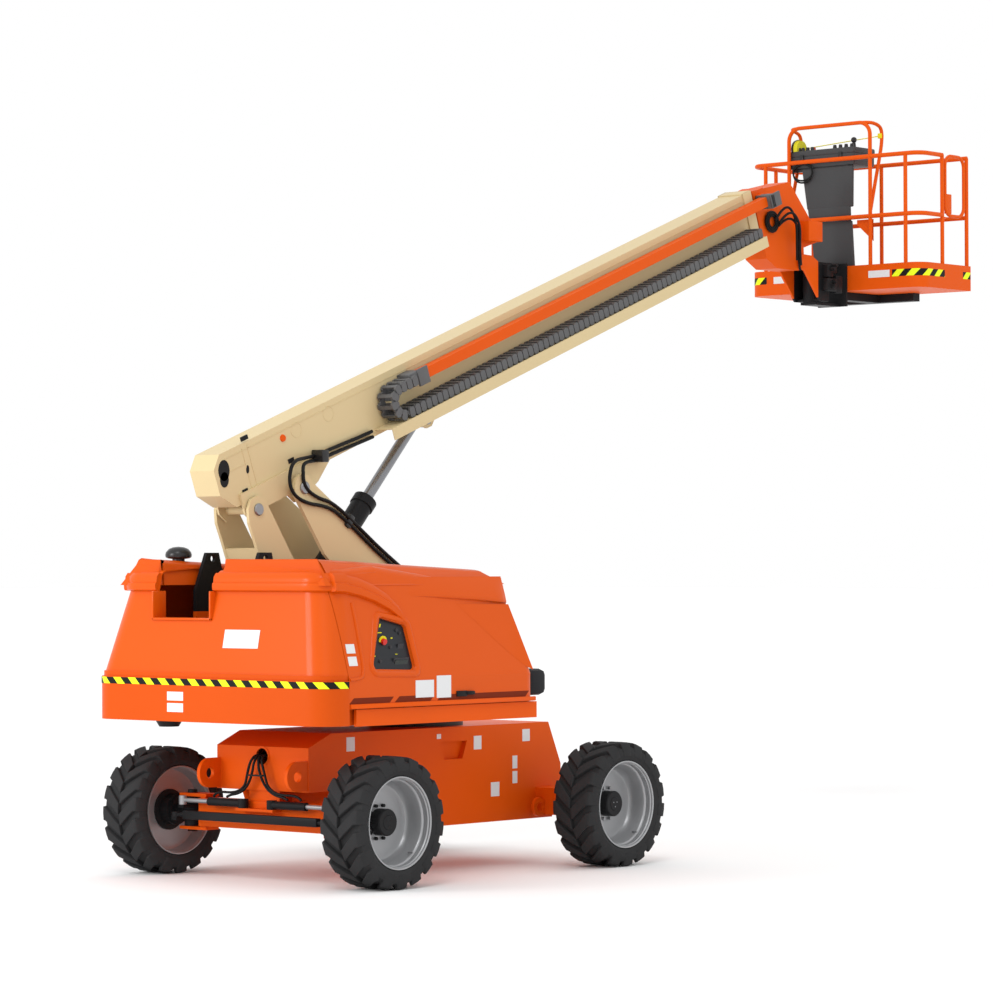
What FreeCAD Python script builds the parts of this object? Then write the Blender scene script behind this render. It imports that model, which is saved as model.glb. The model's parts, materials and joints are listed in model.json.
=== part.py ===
"""Telescopic boom lift, full size, as an assembly of separate sub-parts.

Frame: X runs along the machine from the counterweight to the platform, Y to its left, Z up.
The origin lies on the ground, on the centreline, under the middle of the parked machine's length.
Every size is a cell of the sheet "Dimensions", in millimetres or degrees.
"""
import FreeCAD, Part
import Sketcher
import ast
import math
import os
import re
from FreeCAD import Placement, Rotation, Vector

doc = FreeCAD.newDocument("boom_lift")

# ---------------------------------------------------------------------------------------------
# Driving dimensions
# ---------------------------------------------------------------------------------------------
DIMENSIONS = [
    # whole machine
    ("origin_ahead", 2482, "origin ahead of mid-wheelbase"),
    ("wheelbase", 2480, "between axle centres"),
    ("wheel_track", 2154, "between tyre centre planes"),
    ("ground_gap", 330, "ground to the chassis floor"),
    ("seat_gap", 0.3, "clearance where round faces seat"),
    ("running_gap", 0.5, "clearance between flat faces that slide"),
    # wheels
    ("tyre_radius", 459, "over the lugs"),
    ("tyre_width", 370, "over the sidewalls"),
    ("lug_height", 26, "tread lugs"),
    ("lug_length", 84, "tread lugs around the tyre, at the foot"),
    ("rim_radius", 321, "outside of the rim's barrel"),
    ("rim_width", 336, "lip to lip"),
    ("rim_wall", 14, "barrel's thickness at the lip"),
    ("disc_face", 52, "wheel disc's outer face from the centre plane"),
    ("disc_thickness", 12, "wheel disc"),
    ("hub_radius", 94, "hub barrel"),
    ("hub_face", 59, "hub's outer end from the centre plane"),
    ("hub_inner", 140, "hub's inner end from the centre plane"),
    ("hub_flange_radius", 150, "flange behind the disc"),
    # chassis
    ("chassis_width", 900, "over the side plates"),
    ("chassis_top", 1045, "height of the deck"),
    ("chassis_plate", 12, "plate thickness"),
    ("deck_rear", 1290, "deck's end at the drive axle"),
    ("deck_front", 1090, "deck's end at the steer axle"),
    ("nose_front", 1320, "front plate"),
    ("nose_top", 950, "front plate's upper edge"),
    ("nose_bottom", 640, "front plate's lower edge"),
    ("tail_end", 1434, "end plate over the drive axle"),
    ("tail_top", 727, "end plate's upper edge"),
    ("tail_bottom", 560, "end plate's lower edge"),
    ("pocket_depth", 45, "hand pocket in the side plates"),
    ("ear_reach", 1424, "tie-down ear's hole from mid-wheelbase"),
    ("ear_height", 754, "tie-down ear's hole above ground"),
    ("ear_side", 430, "tie-down ear's centre plane"),
    ("ear_radius", 105, "tie-down ear"),
    ("ear_bore", 38, "radius of the tie-down hole"),
    ("ear_plate", 30, "tie-down ear's thickness"),
    # axles and steering
    ("beam_width", 160, "steer axle beam along the machine"),
    ("beam_bottom", 360, "steer axle beam's underside"),
    ("beam_top", 560, "steer axle beam's top"),
    ("beam_half", 640, "half length of the steer axle beam"),
    ("kingpin_side", 780, "kingpin from the centreline"),
    ("kingpin_radius", 60, "knuckle boss"),
    ("yoke_plate", 22, "kingpin yoke plates"),
    ("yoke_end", 850, "outer end of the yoke plates"),
    ("arm_box", 200, "drive axle arm, square"),
    ("stub_radius", 45, "knuckle stub"),
    ("steer_arm", 200, "tie rod joint behind the kingpin"),
    ("cylinder_arm", 130, "steer cylinder joint behind the kingpin"),
    ("arm_inset", 30, "steering joints inboard of the kingpin"),
    ("tie_rod_radius", 18, "tie rod"),
    ("tie_rod_height", 446, "tie rod's axis above ground"),
    ("steer_barrel_radius", 32, "steer cylinder barrel"),
    ("steer_rod_radius", 16, "steer cylinder rod"),
    ("steer_height", 545, "steer cylinder's axis above ground"),
    ("steer_foot", 140, "steer cylinder's foot from the centreline"),
    ("steer_gland", 480, "steer cylinder's gland from the centreline"),
    # turntable
    ("swing_x", 300, "swing axis ahead of mid-wheelbase"),
    ("ring_radius", 350, "swing bearing"),
    ("turntable_bottom", 1130, "underside of the turntable's floor"),
    ("floor_plate", 25, "turntable's floor"),
    ("sill_top", 1245, "turntable's sill"),
    ("sill_side", 1150, "sill's outer face from the centreline"),
    ("turntable_front", 325, "sill's front end"),
    ("tail_rear", 1885, "counterweight's rear face from mid-wheelbase"),
    ("tail_half", 1170, "counterweight's half width"),
    ("tail_corner", 210, "counterweight's corner radius"),
    ("tail_base", 1137, "counterweight's underside"),
    ("tail_band", 1443, "counterweight's top edge"),
    ("tail_ledge", 1480, "foot of the rear cover"),
    ("frame_half_gap", 250, "frame plates from the boom's centre plane"),
    ("frame_plate", 30, "frame plates' thickness"),
    ("hood_roof", 2200, "hoods' roof at the rear"),
    ("hood_base", 1250, "hoods' lower edge"),
    ("cover_half", 1165, "moulded covers, half width at the waist"),
    ("cover_waist", 1450, "height from which the covers lean inwards"),
    ("cover_top", 2250, "height at which the lean is measured"),
    ("lean_side", 200, "covers' lean at each side"),
    ("lean_rear", 165, "covers' lean at the rear"),
    ("lean_front", 200, "hoods' lean at the front"),
    ("cover_bend", 210, "covers' rear corners"),
    ("hood_bend", 100, "hoods' front corners"),
    ("cover_round", 60, "rounded edge between roof and sides"),
    ("cover_seam", 1665, "rear end of the hoods"),
    ("seam_gap", 5, "between the rear cover and the hoods"),
    ("hood_front", 300, "hoods' front end"),
    ("hood_wall", 10, "moulded shells' thickness"),
    ("hood_hinge_gap", 20, "hoods from the frame plates"),
    # boom linkage
    ("boom_side", 330, "boom's centre plane from the centreline"),
    ("boom_pin_x", -766, "arm to boom pin from mid-wheelbase"),
    ("boom_pin_z", 2787, "arm to boom pin above ground"),
    ("boom_elevation", 20.4, "boom above the level, as parked"),
    ("link_pin_back", 460, "rear link's pin behind the arm's pin, along the boom"),
    ("cylinder_pin_out", 1537, "lift cylinder's pin ahead of the arm's pin, along the boom"),
    ("arm_foot_x", 200, "arm's foot pin from mid-wheelbase"),
    ("arm_foot_z", 1800, "arm's foot pin above ground"),
    ("link_foot_x", -750, "rear link's foot pin from mid-wheelbase"),
    ("link_foot_z", 1550, "rear link's foot pin above ground"),
    ("lift_angle", 47.4, "lift cylinder above the level, as parked"),
    ("lift_length", 2170, "lift cylinder's pin to foot, as parked"),
    ("lift_foot_x", -794, "lift cylinder's foot from mid-wheelbase"),
    ("lift_foot_z", 1725, "lift cylinder's foot above ground"),
    ("lift_exposed", 830, "pin to gland, as parked"),
    ("lift_rod_radius", 42, "lift rod"),
    ("lift_barrel_radius", 83, "lift barrel"),
    ("lift_gland_radius", 92, "lift cylinder's gland"),
    ("lift_rod_inside", 885, "rod inside the barrel, as parked"),
    ("pin_radius", 35, "linkage pins"),
    ("link_inner", 150, "rear link's plates from the boom's centre plane"),
    ("link_plate", 25, "rear link's plates"),
    ("arm_inner", 185, "arm's plates from the boom's centre plane"),
    ("arm_plate", 30, "arm's plates"),
    # boom
    ("boom_width", 240, "base section, outside"),
    ("boom_bottom", 70, "base section's underside above the pin line"),
    ("boom_depth", 410, "base section, outside"),
    ("boom_wall", 8, "plates of all sections"),
    ("boom_front", 6040, "base section's front end ahead of the arm's pin"),
    ("boom_rear", 735, "base section's rear end behind the arm's pin"),
    ("section_step", 17, "from one section's outside to the next, each side"),
    ("section_depth_step", 19, "from one section's outside to the next, top and bottom"),
    ("mid_rear", 250, "mid section's rear end ahead of the arm's pin"),
    ("mid_front", 6065, "mid section's front end"),
    ("fly_rear", 350, "fly section's rear end ahead of the arm's pin"),
    ("fly_front", 6240, "fly section's front end, inside the nose"),
    ("nose_rear", 6080, "nose's rear end"),
    ("wear_pad", 120, "wear pads along the boom"),
    ("tray_width", 180, "cable tray beside the boom"),
    ("tray_start", 950, "tray's rear end"),
    ("tray_bottom", 30, "tray's underside above the pin line"),
    ("tray_height", 90, "tray's side"),
    ("tray_wall", 5, "tray's sheet"),
    ("link_height", 85, "cable chain's height"),
    ("chain_width", 150, "cable chain's width"),
    ("loop_radius", 145, "cable chain's loop, outside"),
    ("tube_side", 80, "carrier tube, square"),
    # nose, platform
    ("nose_pin_out", 6540, "levelling pin along the boom"),
    ("nose_pin_down", -290, "levelling pin above the pin line"),
    ("nose_half", 110, "nose's half width"),
    ("rotator_ahead", 325, "platform's turning axis ahead of the levelling pin"),
    ("rotator_radius", 88, "rotator's column"),
    ("rotator_low", 325, "rotator's lower end below the levelling pin"),
    ("rotator_length", 325, "rotator's column"),
    ("platform_gap", 300, "platform's rear edge ahead of its turning axis"),
    ("platform_depth", 760, "platform along the machine"),
    ("gate_place", 360, "platform's rear edge to the gate's hinge post"),
    ("platform_width", 1830, "platform across the machine"),
    ("floor_drop", 170, "platform floor below the levelling pin"),
    ("toe_plate", 5, "toe board's thickness"),
    ("toe_height", 170, "toe board above the floor"),
    ("rail_height", 1125, "top rail above the floor"),
    ("mid_rail_height", 590, "mid rail above the floor"),
    ("rail_radius", 19, "rails"),
    ("rail_bend", 110, "bends of the rails"),
    ("post_inset", 2, "posts thinner than the rails"),
]
sheet = doc.addObject("Spreadsheet::Sheet", "Dimensions")
for row, (name, value, note) in enumerate(DIMENSIONS, start=1):
    sheet.set(f"A{row}", note)
    sheet.set(f"B{row}", str(value))
    sheet.setAlias(f"B{row}", name)
doc.recompute()


class Sizes:
    """The sheet's values by name, for pieces that are shaped in code."""


mm = Sizes()
for name, value, note in DIMENSIONS:
    setattr(mm, name, float(sheet.get(name)))


def linked(text):
    """An expression in which each dimension's name points at its cell."""
    return re.sub(r"[a-z]\w*", lambda m: f"Dimensions.{m[0]}" if hasattr(mm, m[0]) else m[0], str(text))


# ---------------------------------------------------------------------------------------------
# Making pieces
# ---------------------------------------------------------------------------------------------
UP = Vector(0, 0, 1)
TURNS = {"X": Rotation(Vector(0, 1, 0), 90), "Y": Rotation(Vector(1, 0, 0), -90), "Z": Rotation()}
frames = {
    "machine": ("-origin_ahead", "0", "0", 0, None),
    "boom": ("boom_pin_x - origin_ahead", "boom_side", "boom_pin_z", 1, "boom_elevation"),
    "lift": ("boom_pin_x + cylinder_pin_out * cos(boom_elevation) - origin_ahead", "boom_side",
             "boom_pin_z + cylinder_pin_out * sin(boom_elevation)", 1, "lift_angle"),
}
subparts = []


def move(obj, x=0, y=0, z=0):
    """Bind an object's place to dimensions."""
    for letter, text in zip("xyz", (x, y, z)):
        obj.setExpression(f"Placement.Base.{letter}", linked(text))
    return obj


def box(name, length, width, height, x=0, y=0, z=0):
    """A block with its lowest corner at x, y, z."""
    piece = doc.addObject("Part::Box", name)
    for side, text in zip(("Length", "Width", "Height"), (length, width, height)):
        piece.setExpression(side, linked(text))
    return move(piece, x, y, z)


def round_bar(name, radius, length, axis, x=0, y=0, z=0):
    """A cylinder that starts at x, y, z and runs along an axis."""
    piece = doc.addObject("Part::Cylinder", name)
    piece.setExpression("Radius", linked(radius))
    piece.setExpression("Height", linked(length))
    piece.Placement = Placement(Vector(), TURNS[axis])
    return move(piece, x, y, z)


def outline(name, points, plane="XZ", at="0"):
    """A closed sketch whose corners are bound to dimensions, in a plane at a given height."""
    sketch = doc.addObject("Sketcher::SketchObject", name)
    turn = {"XZ": Rotation(Vector(1, 0, 0), 90), "XY": Rotation(),
            "YZ": Rotation(Vector(1, 1, 1), 120)}[plane]
    sketch.Placement = Placement(Vector(), turn)
    sketch.setExpression("Placement.Base." + {"XZ": "y", "XY": "z", "YZ": "x"}[plane], linked(at))
    fill(sketch, points)
    return sketch


def fill(sketch, points):
    """Draw the closed outline in a sketch and bind each corner."""
    count = len(points)
    rough = [Vector(100 * math.cos(6.28 * i / count), 100 * math.sin(6.28 * i / count), 0)
             for i in range(count)]
    for i in range(count):
        sketch.addGeometry(Part.LineSegment(rough[i], rough[(i + 1) % count]), False)
    for i in range(count):
        sketch.addConstraint(Sketcher.Constraint("Coincident", i, 2, (i + 1) % count, 1))
    for i, corner in enumerate(points):
        for kind, text in zip(("DistanceX", "DistanceY"), corner):
            index = sketch.addConstraint(Sketcher.Constraint(kind, i, 1, 1.0))
            sketch.setExpression(f"Constraints[{index}]", linked(text))


STEPS = {ast.Add: lambda a, b: a + b, ast.Sub: lambda a, b: a - b, ast.Mult: lambda a, b: a * b,
         ast.Div: lambda a, b: a / b}


def value(text):
    """What an expression of dimensions comes to."""
    def walk(step):
        if isinstance(step, ast.BinOp):
            return STEPS[type(step.op)](walk(step.left), walk(step.right))
        if isinstance(step, ast.UnaryOp):
            return -walk(step.operand)
        if isinstance(step, ast.Call):
            return getattr(math, step.func.id)(math.radians(walk(step.args[0])))
        if isinstance(step, ast.Name):
            return getattr(mm, step.id)
        return float(step.value)
    return walk(ast.parse(str(text).strip()).body[0].value)


def rounded(name, corners, plane="XZ", at="0"):
    """A closed sketch of straight runs and arcs; a corner is (x, y) or (x, y, radius)."""
    sketch = doc.addObject("Sketcher::SketchObject", name)
    turn = {"XZ": Rotation(Vector(1, 0, 0), 90), "XY": Rotation(),
            "YZ": Rotation(Vector(1, 1, 1), 120)}[plane]
    sketch.Placement = Placement(Vector(), turn)
    sketch.setExpression("Placement.Base." + {"XZ": "y", "XY": "z", "YZ": "x"}[plane], linked(at))
    count = len(corners)
    spots = [Vector(value(c[0]), value(c[1]), 0) for c in corners]
    bends = []
    for i, spot in enumerate(spots):
        radius = value(corners[i][2]) if len(corners[i]) > 2 else 0
        back = (spots[i - 1] - spot).normalize()
        ahead = (spots[(i + 1) % count] - spot).normalize()
        half = back.getAngle(ahead) / 2
        centre = spot + (back + ahead).normalize() * (radius / math.sin(half))
        bends.append((spot + back * (radius / math.tan(half)), spot + ahead * (radius / math.tan(half)),
                      centre, radius, back.cross(ahead).z < 0))
    for i in range(count):
        sketch.addGeometry(Part.LineSegment(bends[i][1], bends[(i + 1) % count][0]), False)
    for i, (start, end, centre, radius, left) in enumerate(bends):
        before = (i - 1) % count
        if radius:
            first, last = (start, end) if left else (end, start)
            angles = [math.atan2(p.y - centre.y, p.x - centre.x) for p in (first, last)]
            if angles[1] < angles[0]:
                angles[1] += 2 * math.pi
            arc = sketch.addGeometry(Part.ArcOfCircle(Part.Circle(centre, Vector(0, 0, 1), radius), *angles), False)
            point = sketch.addGeometry(Part.Point(spots[i]), True)
            near, far = (1, 2) if left else (2, 1)
            sketch.addConstraint([Sketcher.Constraint("Tangent", before, 2, arc, near),
                                  Sketcher.Constraint("Tangent", arc, far, i, 1),
                                  Sketcher.Constraint("PointOnObject", point, 1, before),
                                  Sketcher.Constraint("PointOnObject", point, 1, i)])
            size = sketch.addConstraint(Sketcher.Constraint("Radius", arc, radius))
            sketch.setExpression(f"Constraints[{size}]", linked(corners[i][2]))
        else:
            sketch.addConstraint(Sketcher.Constraint("Coincident", before, 2, i, 1))
            point = i
        for kind, text, place in (("DistanceX", corners[i][0], spots[i].x), ("DistanceY", corners[i][1], spots[i].y)):
            index = sketch.addConstraint(Sketcher.Constraint(kind, point, 1, place))
            sketch.setExpression(f"Constraints[{index}]", linked(text))
    return sketch


def extruded(name, sketch, thickness, direction):
    """A plate of a finished sketch."""
    plate = doc.addObject("Part::Extrusion", name)
    plate.Base = sketch
    plate.DirMode = "Custom"
    plate.Dir = direction
    plate.setExpression("LengthFwd", linked(thickness))
    plate.Solid = True
    return plate


def slab(name, points, thickness, at="0", plane="XZ"):
    """A plate of the given outline, from at towards the plane's positive side."""
    sketch = outline(name + "_outline", points, plane, at)
    plate = doc.addObject("Part::Extrusion", name)
    plate.Base = sketch
    plate.DirMode = "Custom"
    plate.Dir = {"XZ": Vector(0, 1, 0), "XY": Vector(0, 0, 1), "YZ": Vector(1, 0, 0)}[plane]
    plate.setExpression("LengthFwd", linked(thickness))
    plate.Solid = True
    return plate


def fuse(name, *pieces):
    """One solid of several."""
    joined = doc.addObject("Part::MultiFuse", name)
    joined.Shapes = list(pieces)
    joined.Refine = True
    return joined


def cut(name, base, *tools):
    """A piece less one or more others."""
    result = doc.addObject("Part::Cut", name)
    result.Base = base
    result.Tool = tools[0] if len(tools) == 1 else fuse(name + "_tools", *tools)
    return result


def several(name, *pieces):
    """Solids that share a node without touching."""
    group = doc.addObject("Part::Compound", name)
    group.Links = list(pieces)
    return group


def revolved(name, points):
    """A body turned about the Y axis, from an outline of (along Y, radius)."""
    body = doc.addObject("PartDesign::Body", name)
    sketch = body.newObject("Sketcher::SketchObject", name + "_section")
    plane = next(f for f in body.Origin.OriginFeatures if f.Role == "YZ_Plane")
    sketch.AttachmentSupport = (plane, [""])
    sketch.MapMode = "FlatFace"
    fill(sketch, points)
    turn = body.newObject("PartDesign::Revolution", name + "_turned")
    turn.Profile = sketch
    turn.ReferenceAxis = (sketch, ["H_Axis"])
    turn.Angle = 360
    body.Tip = turn
    return body


def mirrored(name, piece, normal=Vector(0, 1, 0)):
    """A piece's image in the plane through the origin."""
    image = doc.addObject("Part::Mirroring", name)
    image.Source = piece
    image.Normal = normal
    return image


def subpart(label, piece, frame="machine"):
    """Name a finished sub-part and put it in its frame."""
    x, y, z, tilted, angle = frames[frame]
    piece.Label = label
    if tilted:
        piece.Placement = Placement(Vector(), Rotation(Vector(0, 1, 0), -10))
        piece.setExpression("Placement.Rotation.Angle", linked(f"-{angle}"))
    move(piece, x, y, z)
    subparts.append(piece)
    return piece


def placed(label, piece, x, y, z, turned=0):
    """Name a finished sub-part and put its own origin at x, y, z, turned about the upright."""
    piece.Label = label
    piece.Placement = Placement(Vector(), Rotation(Vector(0, 0, 1), turned))
    move(piece, f"{x} - origin_ahead", y, z)
    subparts.append(piece)
    return piece


# ---------------------------------------------------------------------------------------------
# Wheels: tyre, deep-dished rim and hub
# ---------------------------------------------------------------------------------------------
RING_SIDES = 36
TREAD_LUGS = 18


def ring_prism(name, radius, width):
    """A many-sided prism about the Y axis whose flats lie at a radius."""
    prism = doc.addObject("Part::Prism", name)
    prism.Polygon = RING_SIDES
    prism.setExpression("Circumradius", linked(f"({radius}) / cos({180 / RING_SIDES})"))
    prism.setExpression("Height", linked(width))
    prism.Placement = Placement(Vector(), TURNS["Y"])
    return move(prism, 0, f"-({width}) / 2")


def tread_lug(name, angle, side):
    """One lug on half the tread, its flanks and its shoulder sloping."""
    lug = doc.addObject("Part::Wedge", name)
    for edge, text in (("Xmin", "-lug_length / 2"), ("Xmax", "lug_length / 2"),
                       ("X2min", "12 - lug_length / 2"), ("X2max", "lug_length / 2 - 12"),
                       ("Ymin", "tyre_radius - lug_height - 4"), ("Ymax", "tyre_radius"),
                       ("Zmin", "8"), ("Z2min", "8"), ("Zmax", "tyre_width / 2"),
                       ("Z2max", "tyre_width / 2 - 30")):
        lug.setExpression(edge, linked(text))
    lug.Placement = Placement(Vector(), Rotation(Vector(0, 1, 0), angle) * Rotation(Vector(0, 0, 1), 180 * side)
                              * Rotation(Vector(1, 0, 0), 90))
    return lug


carcass = fuse("carcass", ring_prism("tread_ring", "tyre_radius - lug_height", "0.92 * tyre_width"),
               ring_prism("sidewall_ring", "tyre_radius - 75", "tyre_width"))
treads = [tread_lug(f"lug_{i}", 180 / TREAD_LUGS * i, i % 2) for i in range(2 * TREAD_LUGS)]
tyre = cut("tyre", fuse("tyre_solid", carcass, *treads),
           ring_prism("tyre_bore", "rim_radius + seat_gap", "tyre_width + 2"))
RIM = [("-rim_width / 2", "rim_radius"), ("rim_width / 2", "rim_radius"),
       ("rim_width / 2", "rim_radius - rim_wall"), ("rim_width / 2 - 22", "rim_radius - rim_wall - 7"),
       ("disc_face + 60", "rim_radius - 30"), ("disc_face", "rim_radius - 36"),
       ("disc_face", "hub_radius - 10"), ("disc_face - disc_thickness", "hub_radius - 10"),
       ("disc_face - disc_thickness", "rim_radius - 36"), ("-disc_face - 60", "rim_radius - 30"),
       ("22 - rim_width / 2", "rim_radius - rim_wall - 7"), ("-rim_width / 2", "rim_radius - rim_wall")]
HUB = [("-hub_inner", "0"), ("hub_face", "0"), ("hub_face", "hub_radius - 12"),
       ("hub_face - 12", "hub_radius"), ("disc_face - disc_thickness + 1", "hub_radius"),
       ("disc_face - disc_thickness + 1", "hub_flange_radius"),
       ("disc_face - disc_thickness - 22", "hub_flange_radius"),
       ("disc_face - disc_thickness - 22", "hub_radius + 16"), ("-hub_inner", "hub_radius + 16")]
WHEELS = [("steer", "left", "-wheelbase / 2", "wheel_track / 2", 0),
          ("steer", "right", "-wheelbase / 2", "-wheel_track / 2", 180),
          ("drive", "left", "wheelbase / 2", "wheel_track / 2", 0),
          ("drive", "right", "wheelbase / 2", "-wheel_track / 2", 180)]
for axle, side, x, y, turned in WHEELS:
    name = f"{axle}_{side}"
    placed(f"tyre_{name}", several(f"tyre_copy_{name}", tyre), x, y, "tyre_radius", turned)
    placed(f"wheel_{name}", fuse(f"wheel_body_{name}", revolved(f"rim_body_{name}", RIM),
                                 revolved(f"hub_body_{name}", HUB)), x, y, "tyre_radius", turned)

# ---------------------------------------------------------------------------------------------
# Chassis: a closed box of plates with hand pockets and tie-down ears
# ---------------------------------------------------------------------------------------------
CHASSIS = [("-nose_front", "nose_bottom"), ("-nose_front", "nose_top"), ("-deck_front", "chassis_top"),
           ("deck_rear", "chassis_top"), ("tail_end", "tail_top"), ("tail_end", "tail_bottom"),
           ("deck_rear + 40", "ground_gap"), ("140 - deck_front", "ground_gap"),
           ("10 - deck_front", "nose_bottom")]
INSIDE = [("chassis_plate - nose_front", "nose_bottom + chassis_plate"),
          ("chassis_plate - nose_front", "nose_top - chassis_plate"),
          ("chassis_plate - deck_front", "chassis_top - chassis_plate"),
          ("deck_rear - chassis_plate", "chassis_top - chassis_plate"),
          ("tail_end - chassis_plate", "tail_top - chassis_plate"),
          ("tail_end - chassis_plate", "tail_bottom + chassis_plate"),
          ("deck_rear + 40 - chassis_plate", "ground_gap + chassis_plate"),
          ("140 - deck_front + chassis_plate", "ground_gap + chassis_plate"),
          ("10 - deck_front + chassis_plate", "nose_bottom + chassis_plate")]
POCKET = [("60", "chassis_top - 105"), ("110", "chassis_top - 235"), ("310", "chassis_top - 235"),
          ("360", "chassis_top - 105")]
POCKET_WALL = [("40", "chassis_top - 90"), ("95", "chassis_top - 250"), ("325", "chassis_top - 250"),
               ("380", "chassis_top - 90")]
shell = cut("chassis_shell",
            slab("chassis_block", CHASSIS, "chassis_width", "-chassis_width / 2"),
            slab("chassis_void", INSIDE, "chassis_width - 2 * chassis_plate",
                 "chassis_plate - chassis_width / 2"))
backing = slab("pocket_backing", POCKET_WALL, "pocket_depth + chassis_plate", "-chassis_width / 2")
pocket = slab("pocket_cut", POCKET, "pocket_depth", "-chassis_width / 2")
ears = []
for side, sign in (("left", ""), ("right", "-")):
    centre = f"{sign}ear_side"
    disc = round_bar(f"ear_disc_{side}", "ear_radius", "ear_plate", "Y",
                     "-ear_reach", f"{centre} - ear_plate / 2", "ear_height")
    web = box(f"ear_web_{side}", "ear_reach - nose_front + 2", "ear_plate", "2 * ear_radius",
              "-ear_reach", f"{centre} - ear_plate / 2", "ear_height - ear_radius")
    bore = round_bar(f"ear_bore_{side}", "ear_bore", "3 * ear_plate", "Y",
                     "-ear_reach", f"{centre} - 1.5 * ear_plate", "ear_height")
    ears.append(cut(f"ear_{side}", fuse(f"ear_solid_{side}", disc, web), bore))
hose_hole = round_bar("hose_hole", "60", "4 * chassis_plate", "X",
                      "-nose_front - 2 * chassis_plate", "0", "nose_top - 70")
subpart("chassis_frame", cut("chassis", fuse("chassis_solid", shell, backing,
                                             mirrored("backing_left", backing), *ears),
                             pocket, mirrored("pocket_left", pocket), hose_hole))

# ---------------------------------------------------------------------------------------------
# Axles and steering
# ---------------------------------------------------------------------------------------------
beam = box("beam", "beam_width", "2 * beam_half", "beam_top - beam_bottom",
           "-wheelbase / 2 - beam_width / 2", "-beam_half", "beam_bottom")
beam_void = box("beam_void", "beam_width - 2 * chassis_plate", "2 * beam_half - 4 * chassis_plate",
                "beam_top - beam_bottom - 2 * chassis_plate",
                "chassis_plate - wheelbase / 2 - beam_width / 2", "2 * chassis_plate - beam_half",
                "beam_bottom + chassis_plate")
saddle = box("saddle", "beam_width - 40", "300", "nose_bottom - beam_top",
             "20 - wheelbase / 2 - beam_width / 2", "-150", "beam_top")
yokes = []
for height, z in (("upper", "beam_top + 8"), ("lower", "beam_bottom - 8 - yoke_plate")):
    yoke = box(f"yoke_{height}", "130", "yoke_end - beam_half + 60", "yoke_plate",
               "-wheelbase / 2 - 65", "beam_half - 60", z)
    tab = box(f"yoke_tab_{height}", "120", "50", "8", "-wheelbase / 2 - 60", "beam_half - 50",
              "beam_top" if height == "upper" else "beam_bottom - 8")
    yokes += [yoke, tab, mirrored(f"yoke_right_{height}", yoke), mirrored(f"yoke_tab_right_{height}", tab)]
shelf = box("steer_shelf", "cylinder_arm - beam_width / 2 + 40", "2 * steer_foot + 90", "18",
            "-wheelbase / 2 - cylinder_arm - 40", "-steer_foot - 45",
            "steer_height - steer_barrel_radius - running_gap - 18")
subpart("steer_axle", cut("steer_axle_cut", fuse("steer_axle_solid", beam, saddle, shelf, *yokes), beam_void))

arm = box("drive_arm", "arm_box", "wheel_track / 2 - hub_inner - 60 - chassis_width / 2", "arm_box",
          "wheelbase / 2 - arm_box / 2", "chassis_width / 2", "tyre_radius - arm_box / 2")
spindle = round_bar("drive_spindle", "hub_radius", "60 - running_gap + 1", "Y", "wheelbase / 2",
                    "wheel_track / 2 - hub_inner - 61", "tyre_radius")
ring_eye = cut("tow_eye",
               round_bar("tow_disc", "70", "30", "Y", "wheelbase / 2 - arm_box / 2 - 55",
                         "chassis_width / 2 + 60", "tyre_radius - 40"),
               round_bar("tow_bore", "34", "40", "Y", "wheelbase / 2 - arm_box / 2 - 55",
                         "chassis_width / 2 + 55", "tyre_radius - 40"))
drive_left = fuse("drive_arm_left", arm, spindle, ring_eye)
subpart("drive_axle", several("drive_axle_arms", drive_left, mirrored("drive_arm_right", drive_left)))

boss = round_bar("knuckle_boss", "kingpin_radius", "beam_top - beam_bottom + 16 - 2 * running_gap", "Z",
                 "-wheelbase / 2", "kingpin_side", "beam_bottom - 8 + running_gap")
stub = round_bar("knuckle_stub", "stub_radius", "wheel_track / 2 - hub_inner - kingpin_side - running_gap",
                 "Y", "-wheelbase / 2", "kingpin_side", "tyre_radius")
flange = round_bar("knuckle_flange", "hub_radius", "24", "Y", "-wheelbase / 2",
                   "wheel_track / 2 - hub_inner - running_gap - 24", "tyre_radius")
tie_arm = box("tie_arm", "steer_arm + 20", "50", "22", "-wheelbase / 2 - steer_arm - 20",
              "kingpin_side - arm_inset - 25", "tie_rod_height - tie_rod_radius - running_gap - 22")
push_arm = box("push_arm", "cylinder_arm + 20", "50", "24", "-wheelbase / 2 - cylinder_arm - 20",
               "kingpin_side - arm_inset - 25", "steer_height - steer_barrel_radius - running_gap - 24")
knuckle = fuse("knuckle", boss, stub, flange, tie_arm, push_arm)
subpart("knuckle_right", mirrored("knuckle_mirror", knuckle))
subpart("knuckle_left", fuse("knuckle_copy", boss, stub, flange, tie_arm, push_arm))

bar = round_bar("tie_bar", "tie_rod_radius - 3", "2 * (kingpin_side - arm_inset)", "Y",
                "-wheelbase / 2 - steer_arm", "arm_inset - kingpin_side", "tie_rod_height")
eye = round_bar("tie_eye", "tie_rod_radius + 12", "2 * tie_rod_radius", "Z", "-wheelbase / 2 - steer_arm",
                "kingpin_side - arm_inset", "tie_rod_height - tie_rod_radius")
subpart("tie_rod", fuse("tie_rod_solid", bar, eye, mirrored("tie_eye_right", eye)))

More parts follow.
